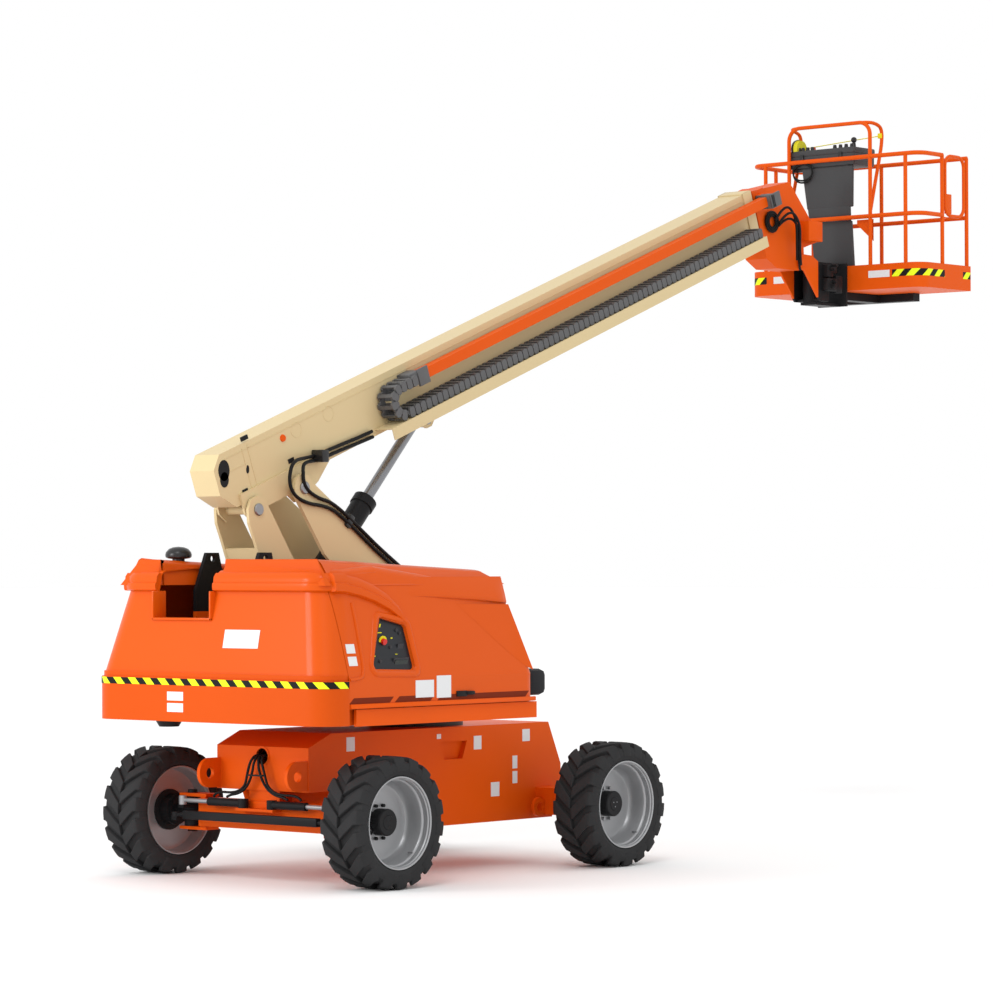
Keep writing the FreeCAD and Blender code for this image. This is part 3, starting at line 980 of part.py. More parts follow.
rails = []
for i, (radius, x, y) in enumerate((
        (POST, rear_x, f"{near_y} + rail_bend + 40"), (POST, rear_x, f"{far_y} - rail_bend - 40"),
        (POST, front_x, f"{far_y} - rail_bend - 40"), (POST, front_x, "boom_side"),
        (POST, f"{PLATFORM_REAR} + platform_depth / 2", far_y),
        (POST, gate_rear, near_y), (POST, gate_front, near_y))):
    rails.append(round_bar(f"post_{i}", radius, "rail_height - rail_radius - 1", "Z", x, y, FLOOR))
for i, z in enumerate((top_z, f"{FLOOR} + mid_rail_height")):
    rails += [round_bar(f"rail_rear_{i}", RAIL, f"platform_width - 2 * {INSET} - 2 * rail_bend", "Y", rear_x,
                        f"{near_y} + rail_bend", z),
              round_bar(f"rail_front_{i}", RAIL, f"platform_width - 2 * {INSET} - rail_bend + 5", "Y", front_x,
                        f"{near_y} - 5", z),
              round_bar(f"rail_far_{i}", RAIL, f"platform_depth - 2 * {INSET} - 2 * rail_bend", "X",
                        f"{rear_x} + rail_bend", far_y, z),
              round_bar(f"rail_near_rear_{i}", RAIL, f"gate_place - {INSET} - rail_bend", "X", f"{rear_x} + rail_bend",
                        near_y, z),
              elbow(f"bend_far_front_{i}", RAIL, f"{front_x} - rail_bend", f"{far_y} - rail_bend", z, 0),
              elbow(f"bend_far_rear_{i}", RAIL, f"{rear_x} + rail_bend", f"{far_y} - rail_bend", z, 1),
              elbow(f"bend_near_rear_{i}", RAIL, f"{rear_x} + rail_bend", f"{near_y} + rail_bend", z, 2)]
rails.append(box("gate_lug", "60", "24", "10", gate_rear, f"{near_y} - 12",
                 f"{FLOOR} + mid_rail_height - 25 - seat_gap"))
guard_top = f"{FLOOR} + rail_height + 280"
UPRIGHT = Rotation(Vector(1, 1, 1), 120)
rails += [round_bar("guard_bar_near", POST, "rail_height + 280 - rail_bend", "Z", rear_x, "boom_side - 375", FLOOR),
          round_bar("guard_bar_far", POST, "rail_height + 280 - rail_bend", "Z", rear_x, "boom_side + 485", FLOOR),
          round_bar("guard_bar_top", POST, "860 - 2 * rail_bend", "Y", rear_x, "boom_side - 375 + rail_bend", guard_top),
          elbow("guard_bend_far", POST, rear_x, "boom_side + 485 - rail_bend", f"{guard_top} - rail_bend", 0, UPRIGHT),
          elbow("guard_bend_near", POST, rear_x, "boom_side - 375 + rail_bend", f"{guard_top} - rail_bend", 1, UPRIGHT)]
subpart("platform_rails", fuse("platform_rails_solid", *rails))

gate = [round_bar(f"gate_bar_{i}", "15", f"{gate_front} - {gate_rear} - 58", "X", f"{gate_rear} + 29", near_y, z)
        for i, z in enumerate((top_z, f"{FLOOR} + mid_rail_height"))]
gate += [round_bar(f"gate_post_{i}", "13", "rail_height - rail_radius - mid_rail_height", "Z", x, near_y,
                   f"{FLOOR} + mid_rail_height")
         for i, x in enumerate((f"{gate_rear} + 44", f"{gate_front} - 44"))]
subpart("platform_gate", fuse("platform_gate_solid", *gate))

console = box("console_box", "320", "660", "160", f"{PLATFORM_REAR} + toe_plate + 2 * rail_radius + 2 * seat_gap",
              "boom_side - 160", f"{FLOOR} + rail_height - 75")
shroud = slab("shroud_block", [("boom_side - 190", f"{FLOOR} + toe_height - 90"),
                               ("boom_side + 230", f"{FLOOR} + toe_height - 90"),
                               ("boom_side + 410", f"{FLOOR} + rail_height - 74"),
                               ("boom_side - 155", f"{FLOOR} + rail_height - 74")],
              "30", f"{PLATFORM_REAR} + toe_plate + 2 * rail_radius + 2 * seat_gap", "YZ")
subpart("control_console", fuse("console_solid", console, shroud))

# ---------------------------------------------------------------------------------------------
# Check every object and write one file for each sub-part
# ---------------------------------------------------------------------------------------------
doc.recompute()
for obj in doc.Objects:
    if "Invalid" in obj.State or "Error" in obj.State:
        raise RuntimeError(f"{obj.Name} does not compute: {obj.State}")
os.makedirs("parts", exist_ok=True)
for piece in subparts:
    shape = piece.Shape
    if shape.isNull() or not shape.isValid() or not shape.Solids:
        raise RuntimeError(f"{piece.Label} has no valid solid")
    shape.exportStep(f"parts/{piece.Label}.step")
print(len(subparts), "sub-parts written")
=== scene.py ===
import json
import math

import bmesh
import bpy
from mathutils import Matrix, Vector


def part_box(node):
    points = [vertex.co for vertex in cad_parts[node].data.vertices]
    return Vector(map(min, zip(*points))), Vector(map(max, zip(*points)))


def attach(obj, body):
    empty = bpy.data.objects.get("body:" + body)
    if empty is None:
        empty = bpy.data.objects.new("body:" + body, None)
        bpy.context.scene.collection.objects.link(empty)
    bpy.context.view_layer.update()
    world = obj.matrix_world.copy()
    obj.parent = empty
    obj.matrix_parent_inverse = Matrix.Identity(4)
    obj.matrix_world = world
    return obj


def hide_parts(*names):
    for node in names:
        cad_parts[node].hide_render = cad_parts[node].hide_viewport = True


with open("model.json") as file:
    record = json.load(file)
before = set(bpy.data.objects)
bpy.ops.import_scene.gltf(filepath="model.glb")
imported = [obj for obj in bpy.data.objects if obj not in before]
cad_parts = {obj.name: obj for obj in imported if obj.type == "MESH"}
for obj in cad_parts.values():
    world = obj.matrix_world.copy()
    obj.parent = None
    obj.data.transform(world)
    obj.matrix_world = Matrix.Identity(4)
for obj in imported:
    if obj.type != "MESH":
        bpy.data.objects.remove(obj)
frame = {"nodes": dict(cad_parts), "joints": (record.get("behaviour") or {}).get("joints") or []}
nodes = frame["nodes"]
pivots = {joint["name"]: Vector(joint["pos_m"]) for joint in frame["joints"] if joint.get("pos_m")}
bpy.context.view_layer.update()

# Camera, floor and light. The machine stands on a pale studio floor, seen from low down on its
# right-hand rear corner through a long lens, under a bright even sky and one soft key lamp.
MACHINE_AHEAD = 2.482
CAMERA_SPOT, CAMERA_HEADING, CAMERA_RISE, CAMERA_ROLL = (-19.884, -18.174, 2.268), 40.73, 0.98, -0.15
LAMP_AIM = Vector((-3.5, 0, 1.6))


def at(x, y, z):
    """A point given from mid-wheelbase."""
    return Vector((x - MACHINE_AHEAD, y, z))


lens_camera = bpy.data.cameras.new("camera")
lens_camera.lens = 132.9
lens_camera.sensor_width = 36
lens_camera.clip_end = 400
camera = bpy.data.objects.new("camera", lens_camera)
bpy.context.scene.collection.objects.link(camera)
camera.matrix_world = (
    Matrix.Translation(at(*CAMERA_SPOT))
    @ Matrix.Rotation(math.radians(CAMERA_HEADING - 90), 4, "Z")
    @ Matrix.Rotation(math.radians(CAMERA_RISE + 90), 4, "X")
    @ Matrix.Rotation(math.radians(CAMERA_ROLL), 4, "Z")
)
bpy.context.scene.camera = camera
bpy.context.scene.view_settings.view_transform = "Standard"

floor_mesh = bmesh.new()
bmesh.ops.create_grid(floor_mesh, x_segments=1, y_segments=1, size=200)
floor_data = bpy.data.meshes.new("floor")
floor_mesh.to_mesh(floor_data)
floor_mesh.free()
floor = bpy.data.objects.new("floor", floor_data)
bpy.context.scene.collection.objects.link(floor)
floor_paint = bpy.data.materials.new("studio floor")
floor_paint.use_nodes = True
floor_shader = floor_paint.node_tree.nodes["Principled BSDF"]
floor_shader.inputs["Base Color"].default_value = (0.93, 0.93, 0.93, 1)
floor_shader.inputs["Roughness"].default_value = 0.9
floor_data.materials.append(floor_paint)

world = bpy.data.worlds.new("studio")
world.use_nodes = True
world.node_tree.nodes["Background"].inputs["Color"].default_value = (1, 1, 1, 1)
world.node_tree.nodes["Background"].inputs["Strength"].default_value = 1.0
bpy.context.scene.world = world
for name, kind, place, power in (("key", "SUN", (-9, -3.5, 9), 0.6), ("rim_light", "AREA", (-11, 3, 4), 260)):
    light = bpy.data.lights.new(name, kind)
    light.energy = power
    if kind == "SUN":
        light.angle = math.radians(18)
    else:
        light.size = 3
    lamp = bpy.data.objects.new(name, light)
    lamp.location = place
    lamp.rotation_euler = (LAMP_AIM - Vector(place)).to_track_quat("-Z", "Y").to_euler()
    bpy.context.scene.collection.objects.link(lamp)


# Finishes and shapes that the pieces below are made with.
GLOSS_DRIFT, GRAIN_DEPTH = 0.07, 0.002


def made_node(tree, kind, values):
    """A shader node whose inputs are set to values or linked to other nodes' outputs."""
    node = tree.nodes.new("ShaderNode" + kind)
    if kind == "Mix":
        node.data_type = "RGBA"
    for key, value in values.items():
        if isinstance(value, bpy.types.NodeSocket):
            tree.links.new(value, node.inputs[key])
        else:
            node.inputs[key].default_value = value
    return node


def finish(name, colour, roughness, metallic=0.0, mottle=0.06, mottle_size=2.5, grain=0.08, grain_size=260.0,
           specular=0.10):
    """A material whose colour and roughness drift a little, with a fine grain in relief."""
    material = bpy.data.materials.new(name)
    material.use_nodes = True
    tree = material.node_tree
    shader = tree.nodes["Principled BSDF"]
    shader.inputs["Metallic"].default_value = metallic
    shader.inputs["Specular IOR Level"].default_value = specular
    place = made_node(tree, "TexCoord", {}).outputs["Object"]
    drift = made_node(tree, "TexNoise", {"Scale": mottle_size, "Detail": 5, "Vector": place}).outputs["Fac"]
    dark, light = ([min(1, part * share) for part in colour] + [1] for share in (1 - mottle, 1 + mottle))
    shades = made_node(tree, "Mix", {"A": dark, "B": light, "Factor": drift})
    shades.name = "shades"
    tree.links.new(shades.outputs["Result"], shader.inputs["Base Color"])
    low_gloss, high_gloss = max(0, roughness - GLOSS_DRIFT), min(1, roughness + GLOSS_DRIFT)
    gloss = made_node(tree, "MapRange", {"To Min": low_gloss, "To Max": high_gloss, "Value": drift})
    tree.links.new(gloss.outputs["Result"], shader.inputs["Roughness"])
    peel = made_node(tree, "TexNoise", {"Scale": grain_size, "Detail": 3, "Vector": place}).outputs["Fac"]
    relief = made_node(tree, "Bump", {"Strength": grain, "Distance": GRAIN_DEPTH, "Height": peel})
    tree.links.new(relief.outputs["Normal"], shader.inputs["Normal"])
    return material


def dressed(mesh, name, material, body, crease=32, place=Matrix()):
    """A finished piece of a bmesh: put in its place, joined, and shaded smooth but for its creases."""
    bmesh.ops.transform(mesh, matrix=place, verts=mesh.verts)
    bmesh.ops.remove_doubles(mesh, verts=mesh.verts, dist=0.00004)
    bmesh.ops.recalc_face_normals(mesh, faces=mesh.faces)
    data = bpy.data.meshes.new(name)
    mesh.to_mesh(data)
    mesh.free()
    data.materials.append(material)
    data.shade_smooth()
    data.set_sharp_from_angle(angle=math.radians(crease))
    piece = bpy.data.objects.new(name, data)
    bpy.context.scene.collection.objects.link(piece)
    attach(piece, body)
    return piece


def spun(mesh, profile, centre, steps=72, axle=Vector((0, 1, 0)), outward=Vector((0, 0, 1))):
    """Turn an outline of (along the axle, radius) about the axle through a centre, as a closed ring."""
    ring = [mesh.verts.new(centre + axle * along + outward * radius) for along, radius in profile]
    edges = [mesh.edges.new((ring[i - 1], ring[i])) for i in range(len(ring))]
    bmesh.ops.spin(mesh, geom=ring + edges, cent=centre, axis=axle, angle=math.tau, steps=steps,
                   use_merge=True, use_duplicate=False)


def eased(mesh, edges, offset, segments=2):
    """Round some edges off."""
    bmesh.ops.bevel(mesh, geom=edges, offset=offset, segments=segments, profile=0.5, affect="EDGES",
                    material=-1)


# Tyres. Each is a moulded rubber carcass with two rows of slanting lugs, half a pitch apart,
# that run from the middle of the tread over the shoulder. The bead grips the rim.
rubber = finish("tyre rubber", (0.031, 0.031, 0.032), 0.8, mottle=0.18, mottle_size=6, grain=0.25,
                grain_size=180)
TREAD_RADIUS, TREAD_CROWN, TREAD_HALF, LUG_PITCHES, LUG_DEPTH = 0.4585, 0.0015, 0.158, 18, 0.042
SHOULDER_SHARE, SHOULDER_REACH, SHOULDER_DROP, SHOULDER_CURVE = 0.2, 0.0222, 0.062, 1.6
LUG_START, LUG_SLANT, SLANT_SHARE, LUG_ARC, LUG_FLARE, LUG_GAP = -7, 15, 0.72, 10.5, 2.5, 0.004
flat = 1 - SHOULDER_SHARE
HALF_CARCASS = [(0.14, 0.428), (0.172, 0.415), (0.183, 0.385), (0.181, 0.355), (0.166, 0.328),
                (0.152, 0.3215)]
CARCASS = [(-along, radius) for along, radius in reversed(HALF_CARCASS)] + HALF_CARCASS
wheel_names = [f"{axle}_{side}" for axle in ("steer", "drive") for side in ("left", "right")]
for name in wheel_names:
    centre = pivots[f"wheel_{name}_spin"]
    tyre = bmesh.new()
    lug = bmesh.ops.create_grid(tyre, x_segments=2, y_segments=7, size=0.5)["verts"]
    for vert in lug:
        across, around = vert.co.y + 0.5, vert.co.x
        over = max(0, across - flat) / SHOULDER_SHARE
        along = min(across, flat) / flat * TREAD_HALF + over * SHOULDER_REACH
        radius = TREAD_RADIUS - TREAD_CROWN * across - over ** SHOULDER_CURVE * SHOULDER_DROP
        slant = LUG_START + LUG_SLANT * min(across, SLANT_SHARE) / SLANT_SHARE
        turn = math.radians(slant + around * (LUG_ARC + LUG_FLARE * across))
        vert.co = Vector((math.sin(turn) * radius, along + LUG_GAP, math.cos(turn) * radius))
    bmesh.ops.solidify(tyre, geom=tyre.faces[:], thickness=LUG_DEPTH)
    bmesh.ops.recalc_face_normals(tyre, faces=tyre.faces)
    sharp = [edge for edge in tyre.edges if edge.calc_face_angle(0) > 0.9]
    eased(tyre, sharp, 0.004, 1)
    more = LUG_PITCHES - 1
    bmesh.ops.spin(tyre, geom=tyre.verts[:] + tyre.edges[:] + tyre.faces[:], cent=(0, 0, 0), axis=(0, 1, 0),
                   angle=math.tau * more / LUG_PITCHES, steps=more, use_duplicate=True)
    other = bmesh.ops.duplicate(tyre, geom=tyre.verts[:] + tyre.edges[:] + tyre.faces[:])["geom"]
    half_pitch = Matrix.Rotation(math.pi / LUG_PITCHES, 4, "Y") @ Matrix.Diagonal((1, -1, 1, 1))
    other_row = [part for part in other if isinstance(part, bmesh.types.BMVert)]
    bmesh.ops.transform(tyre, matrix=half_pitch, verts=other_row)
    bmesh.ops.translate(tyre, vec=centre, verts=tyre.verts)
    spun(tyre, CARCASS, centre)
    piece = dressed(tyre, f"lugged_tyre_{name}", rubber, f"wheel_{name}", crease=28)
    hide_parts(f"tyre_{name}")

# Wheels. Each is a deep-dished rim rolled from steel sheet and painted silver, with a black hub
# drum through its disc, held by a ring of bolts.
silver = finish("silver wheel paint", (0.38, 0.385, 0.395), 0.36, metallic=0.55, mottle=0.05, grain=0.05)
hub_black = finish("black hub paint", (0.018, 0.018, 0.019), 0.42, mottle=0.2, grain=0.12)
zinc = finish("plated bolts", (0.34, 0.34, 0.35), 0.38, metallic=0.9, mottle=0.1, grain=0.05)
RIM = [(-0.037, 0.088), (-0.037, 0.236), (-0.029, 0.262), (-0.008, 0.279), (0.03, 0.285), (0.097, 0.287),
       (0.106, 0.292), (0.111, 0.300), (0.146, 0.302), (0.153, 0.308), (0.164, 0.309), (0.168, 0.313),
       (0.168, 0.3206), (-0.168, 0.3206), (-0.168, 0.313), (-0.164, 0.309), (-0.153, 0.308), (-0.146, 0.302),
       (-0.111, 0.300), (-0.055, 0.288), (-0.047, 0.262), (-0.049, 0.236), (-0.049, 0.088)]
HUB = [(-0.1395, 0.001), (-0.1395, 0.108), (-0.062, 0.108), (-0.062, 0.148), (-0.050, 0.148), (-0.050, 0.094),
       (0.046, 0.094), (0.054, 0.087), (0.054, 0.052), (0.0585, 0.048), (0.0585, 0.001)]
LAY_FLAT = Matrix.Rotation(math.pi / 2, 4, "X")


def cone(mesh, place, low_radius, high_radius, depth, segments=16, turn=Matrix()):
    """A round plug about a point, upright unless turned."""
    bmesh.ops.create_cone(mesh, cap_ends=True, segments=segments, radius1=low_radius, radius2=high_radius,
                          depth=depth, matrix=Matrix.Translation(place) @ turn)


for name in wheel_names:
    centre = pivots[f"wheel_{name}_spin"]
    outward = 1 if name.endswith("left") else -1
    rim = bmesh.new()
    spun(rim, [(along * outward, radius) for along, radius in RIM], centre, 80)
    rim_piece = dressed(rim, f"silver_rim_{name}", silver, f"wheel_{name}")
    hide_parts(f"wheel_{name}")
    drum = bmesh.new()
    spun(drum, [(along * outward, radius) for along, radius in HUB], centre, 48)
    dressed(drum, f"hub_drum_{name}", hub_black, f"wheel_{name}")
    bolts = bmesh.new()
    for count, ring_radius, size, face, thick in ((10, 0.118, 0.0125, -0.026, 0.024),
                                                  (3, 0.022, 0.005, 0.0585, 0.004)):
        for i in range(count):
            angle = math.tau * (i + 0.5) / count
            spot = Vector((math.sin(angle) * ring_radius, outward * face, math.cos(angle) * ring_radius))
            cone(bolts, centre + spot, size, size * 0.92, thick, 6, LAY_FLAT)
    bolt_paint = zinc if "drive" in name else hub_black
    dressed(bolts, f"wheel_bolts_{name}", bolt_paint, f"wheel_{name}", 20)
    valve = bmesh.new()
    cone(valve, centre + Vector((0.17, outward * 0.105, -0.215)), 0.006, 0.005, 0.045, 10, LAY_FLAT)
    dressed(valve, f"valve_{name}", zinc, f"wheel_{name}")


# Chassis. A welded box of steel plate, powder coated orange, with hand pockets in its sides and
# tie-down ears at the nose. Its blank data plates are glued on and its hoses leave by round holes.
def orange_coat(name):
    """Orange powder coat on steel."""
    return finish(name, (0.74, 0.094, 0.003), 0.42, mottle=0.05, mottle_size=1.6, grain=0.1, grain_size=420)


steel_orange = orange_coat("orange powder coat")
black_coat = finish("black powder coat", (0.014, 0.014, 0.015), 0.42, mottle=0.2, grain=0.12)
hose_rubber = finish("hose rubber", (0.012, 0.012, 0.012), 0.38, mottle=0.2, grain=0.2, grain_size=500)
plate_white = finish("blank white plate", (0.72, 0.73, 0.74), 0.4, mottle=0.02, grain=0.02)


def paint(material, *names):
    """Give some nodes of the frame a finish."""
    for name in names:
        nodes[name].data.materials.clear()
        nodes[name].data.materials.append(material)


def slab(mesh, place, size, turn=Matrix()):
    """A sharp-edged block about a point, turned about it; gives its vertices."""
    matrix = Matrix.Translation(place) @ turn @ Matrix.Diagonal((*size, 1))
    return bmesh.ops.create_cube(mesh, size=1, matrix=matrix)["verts"]


def edges_of(verts):
    """The edges that some vertices have."""
    return list({edge for vert in verts for edge in vert.link_edges})


def block(mesh, low, high, ease):
    """A block between two corners with its edges eased by a radius; gives its first vertices."""
    low, high = Vector(low), Vector(high)
    made = slab(mesh, (low + high) / 2, high - low)
    if ease:
        eased(mesh, edges_of(made), ease)
    return made


def blocks(name, spans, material, body, place=Matrix()):
    """A piece made of blocks, each given as (low, high, ease), and set in its place."""
    mesh = bmesh.new()
    for low, high, ease in spans:
        block(mesh, low, high, ease)
    dressed(mesh, name, material, body, place=place)


def tube(name, points, radius, material, body):
    """A hose or bent bar that follows points, closed at both ends."""
    line = bpy.data.curves.new(name + "_line", "CURVE")
    line.dimensions = "3D"
    run = line.splines.new("NURBS")
    run.points.add(len(points) - 1)
    for spot, point in zip(run.points, points):
        spot.co = (*point, 1)
    run.order_u = 3
    run.use_endpoint_u = True
    line.resolution_u = 8
    line.bevel_depth = radius
    line.bevel_resolution = 3
    line.use_fill_caps = True
    drawn = bpy.data.objects.new(name + "_line", line)
    mesh = bmesh.new()
    mesh.from_mesh(bpy.data.meshes.new_from_object(drawn))
    bpy.data.objects.remove(drawn)
    dressed(mesh, name, material, body, 60)


paint(steel_orange, "chassis_frame")
plates = bmesh.new()
CHASSIS_SIDE = 0.4512
for x, z, wide, tall in ((-0.89, 0.962, 0.085, 0.10), (0.05, 0.981, 0.045, 0.035),
                         (0.478, 0.920, 0.085, 0.10), (1.03, 0.954, 0.085, 0.09), (0.90, 0.759, 0.055, 0.095),
                         (0.90, 0.646, 0.055, 0.09), (0.675, 0.568, 0.095, 0.105)):
    for side in (-1, 1):
        slab(plates, at(x, side * CHASSIS_SIDE, z), (wide, 0.002, tall))
dressed(plates, "chassis_plates", plate_white, "chassis")
collar = bmesh.new()
hole_ring = [(0.006, 0.058), (0.006, 0.068), (-0.004, 0.072), (-0.004, 0.058)]
spun(collar, hole_ring, at(-1.3215, 0, 0.88), 40, Vector((1, 0, 0)))
dressed(collar, "hose_hole_collar", steel_orange, "chassis")
for i, (side, offset) in enumerate(((1, 0.0), (1, 0.022), (-1, 0.0), (-1, 0.022))):
    y = side * (0.012 + offset)
    route = ((-1.28, y, 0.885), (-1.345, y, 0.895), (-1.385, y * 1.6, 0.85),
             (-1.385, y * 2.2 + side * 0.01, 0.76), (-1.38, side * (0.09 + offset), 0.665),
             (-1.378, side * (0.17 + offset * 2), 0.615), (-1.375, side * (0.27 + offset * 6), 0.60 + offset),
             (-1.372, side * (0.30 + offset * 6), 0.585))
    tube(f"steer_hose_{i}", [at(*spot) for spot in route], 0.0095, hose_rubber, "chassis")
blocks("steer_hose_clamp", [(at(-1.398, -0.075, 0.742), at(-1.372, 0.075, 0.754), 0.003)],
       hub_black, "chassis")

# Axles and steering. The steer axle is a welded orange beam that carries black knuckles, two
# black steering cylinders and a black tie rod; the drive axle is a pair of welded arms.
paint(steel_orange, "steer_axle", "drive_axle")
paint(black_coat, "knuckle_left", "knuckle_right", "tie_rod", "steer_barrel_left", "steer_barrel_right")
paint(silver, "steer_rod_left", "steer_rod_right")
for side, sign in (("left", 1), ("right", -1)):
    caps = bmesh.new()
    for z in (0.602, 0.325):
        cone(caps, at(-1.24, sign * 0.78, z), 0.038, 0.034, 0.022, 24)
    dressed(caps, f"kingpin_caps_{side}", black_coat, "chassis")

tie_low, tie_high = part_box("tie_rod")
tie_z, TIE_END, TIE_SKIN, TIE_HALF = (tie_low.z + tie_high.z) / 2, 0.12, 0.004, 0.030
blocks("tie_bar", [((tie_low.x + TIE_SKIN, tie_low.y + TIE_END, tie_z - TIE_HALF),
                    (tie_high.x - TIE_SKIN, tie_high.y - TIE_END, tie_z + TIE_HALF), 0.006)],
       black_coat, "tie_rod")

# Swing bearing. A bolted slewing ring between chassis and turntable. It is bare dark steel that
# oil has stained, so it is duller and rougher than the painted parts.
ring_steel = finish("slewing ring steel", (0.05, 0.048, 0.045), 0.45, metallic=0.7, mottle=0.2, grain=0.15)
paint(ring_steel, "swing_bearing")

# Turntable tray and steelwork. Welded plate, painted orange; the lifting lugs, which stand above
# the hoods, are black. The hood's sill has slots, drawn as thin dark sheets whose red-brown is painted
# shade of their recesses, and a ledge under them.
paint(steel_orange, "turntable_base")


def reckoned(tree, operation, first, second):
    """The value of a math node; its inputs are numbers or other nodes' outputs."""
    node = made_node(tree, "Math", {0: first, 1: second})
    node.operation = operation
    return node.outputs["Value"]


def overlaid(material, mask, colour):
    """Lay a colour over a finish where a mask is one."""
    tree = material.node_tree
    shades = tree.nodes["shades"].outputs["Result"]
    both = made_node(tree, "Mix", {"A": shades, "B": colour, "Factor": mask})
    tree.links.new(both.outputs["Result"], tree.nodes["Principled BSDF"].inputs["Base Color"])


def black_past(name, direction, limit):
    """Orange powder coat that is black past a place along X or Z."""
    material = orange_coat(name)
    tree = material.node_tree
    place = made_node(tree, "TexCoord", {}).outputs["Object"]
    parts = made_node(tree, "SeparateXYZ", {"Vector": place})
    mask = reckoned(tree, "GREATER_THAN", parts.outputs[direction], limit)
    overlaid(material, mask, (0.012, 0.012, 0.013, 1))
    return material


paint(black_past("orange steelwork, black lugs", "Z", 1.9), "lift_frame")
paint(finish("engine paint", (0.035, 0.035, 0.037), 0.5, metallic=0.3, mottle=0.3, grain=0.3), "engine_block")
# The slots are thin flat sheets on the sill; their dark red-brown is painted shade standing in for the
# shadowed recesses.
slots = bmesh.new()
painted_slot_shade = finish("painted slot shade", (0.17, 0.022, 0.006), 0.7, mottle=0.1)
SLOT_MIDDLE, SLOT_REAR, SLOT_FRONT = 1.3, 0.05, 0.04
for low, high in ((-1.62, -1.22), (-1.16, -0.80), (-0.72, 0.22)):
    for vert in block(slots, at(low, -1.1665, 1.285), at(high, -1.1645, 1.325), 0):
        if vert.co.z < SLOT_MIDDLE:
            vert.co.x -= SLOT_FRONT if vert.co.x > at((low + high) / 2, 0, 0).x else SLOT_REAR
dressed(slots, "sill_slots", painted_slot_shade, "hood_near")
blocks("hood_ledge_near", [(at(-1.66, -1.180, 1.252), at(0.285, -1.163, 1.283), 0.006)],
       steel_orange, "hood_near")
soft_black = finish("moulded rubber", (0.02, 0.02, 0.022), 0.55, grain=0.3)
blocks("front_bumper", [(at(0.29, -1.10, 1.285), at(0.505, -0.86, 1.475), 0.045)],
       soft_black, "turntable")

# Counterweight. A heavy casting, painted orange, with a hazard stripe stuck round its upper edge
# and blank plates on its back. A black stop hangs under it.
cast_orange = finish("orange cast paint", (0.62, 0.078, 0.003), 0.4, mottle=0.05, mottle_size=1.2, grain=0.16,
                     grain_size=160)
paint(cast_orange, "counterweight")


def hazard(name, pitch):
    """Retroreflective tape: slanting bands of black and yellow-green along its length."""
    material = finish(name, (0.8, 0.95, 0.02), 0.35, mottle=0.03, grain=0.03)
    tree = material.node_tree
    place = tree.nodes.new("ShaderNodeUVMap")
    place.uv_map = "length"
    parts = made_node(tree, "SeparateXYZ", {"Vector": place.outputs["UV"]})
    slant = reckoned(tree, "SUBTRACT", parts.outputs["X"], parts.outputs["Y"])
    bands = reckoned(tree, "PINGPONG", slant, pitch / 2)
    overlaid(material, reckoned(tree, "GREATER_THAN", bands, pitch / 4), (0.012, 0.012, 0.012, 1))
    return material


warning = hazard("hazard tape", 0.15)


def taped(name, path, low, high, body):
    """Hazard tape between two heights along a level path, with its length kept for the pattern."""
    mesh = bmesh.new()
    uv = mesh.loops.layers.uv.new("length")
    run = 0
    upper = mesh.verts.new((path[0].x, path[0].y, high))
    lower = mesh.verts.new((path[0].x, path[0].y, low))
    for previous, spot in zip(path, path[1:]):
        ahead = run + (spot - previous).length
        top = mesh.verts.new((spot.x, spot.y, high))
        bottom = mesh.verts.new((spot.x, spot.y, low))
        face = mesh.faces.new((lower, bottom, top, upper))
        for loop, (along, up) in zip(face.loops, ((run, low), (ahead, low), (ahead, high), (run, high))):
            loop[uv].uv = (along, up)
        upper, lower, run = top, bottom, ahead
    dressed(mesh, name, warning, body)


def round_path(corners, radii, steps=10):
    """A level path through corners, each rounded by its radius."""
    path = []
    for i, (corner, radius) in enumerate(zip(corners, radii)):
        corner = Vector((corner[0], corner[1], 0))
        if not radius:
            path.append(corner)
            continue
        back = (Vector((*corners[i - 1], 0)) - corner).normalized()
        ahead = (Vector((*corners[(i + 1) % len(corners)], 0)) - corner).normalized()
        reach = radius / math.tan(back.angle(ahead) / 2)
        centre = corner + (back + ahead).normalized() * (radius / math.sin(back.angle(ahead) / 2))
        start, end = corner + back * reach - centre, corner + ahead * reach - centre
        path += [centre + radius * start.normalized().slerp(end.normalized(), step / steps)
                 for step in range(steps + 1)]
    return path


TAPE_PROUD, TAPE_LOW, TAPE_HIGH = 0.0003, 1.392, 1.438
TAIL_REAR, TAIL_HALF, TAPE_BEND = -1.885 - MACHINE_AHEAD, 1.170, 0.204
tape_rear, tape_half = TAIL_REAR - TAPE_PROUD, TAIL_HALF + 4 * TAPE_PROUD
tape_end = at(-1.672, 0, 0).x
tape_line = round_path([(tape_end, -tape_half), (tape_rear, -tape_half), (tape_rear, tape_half),
                        (tape_end, tape_half)], [0, TAPE_BEND, TAPE_BEND, 0], 30)
taped("counterweight_tape", tape_line, TAPE_LOW, TAPE_HIGH, "turntable")
blocks("counterweight_plates", [((tape_rear, 0.22, low), (TAIL_REAR + 0.001, 0.38, low + 0.062), 0)
                                for low in (1.284, 1.204)], plate_white, "turntable")
stop = bmesh.new()
cone(stop, at(-1.70, 0.55, 1.115), 0.07, 0.10, 0.05, 28)
dressed(stop, "tail_stop", black_coat, "turntable")

# Rear cover and hoods. Moulded covers in glossy orange that lean inwards. A thick lip runs round
# the top of the rear cover and sweeps down beside the control window.
moulded = finish("glossy orange moulding", (0.66, 0.086, 0.003), 0.34, mottle=0.035, mottle_size=1.2,
                 grain=0.05, grain_size=90)
moulded.node_tree.nodes["Principled BSDF"].inputs["Coat Weight"].default_value = 0.12
moulded.node_tree.nodes["Principled BSDF"].inputs["Coat Roughness"].default_value = 0.12
paint(moulded, "rear_cover", "hood_near", "hood_far")
COVER_HALF, COVER_WAIST, SIDE_LEAN, REAR_LEAN, COVER_REAR = 1.165, 1.45, 0.25, 0.165 / 0.8, 1.865


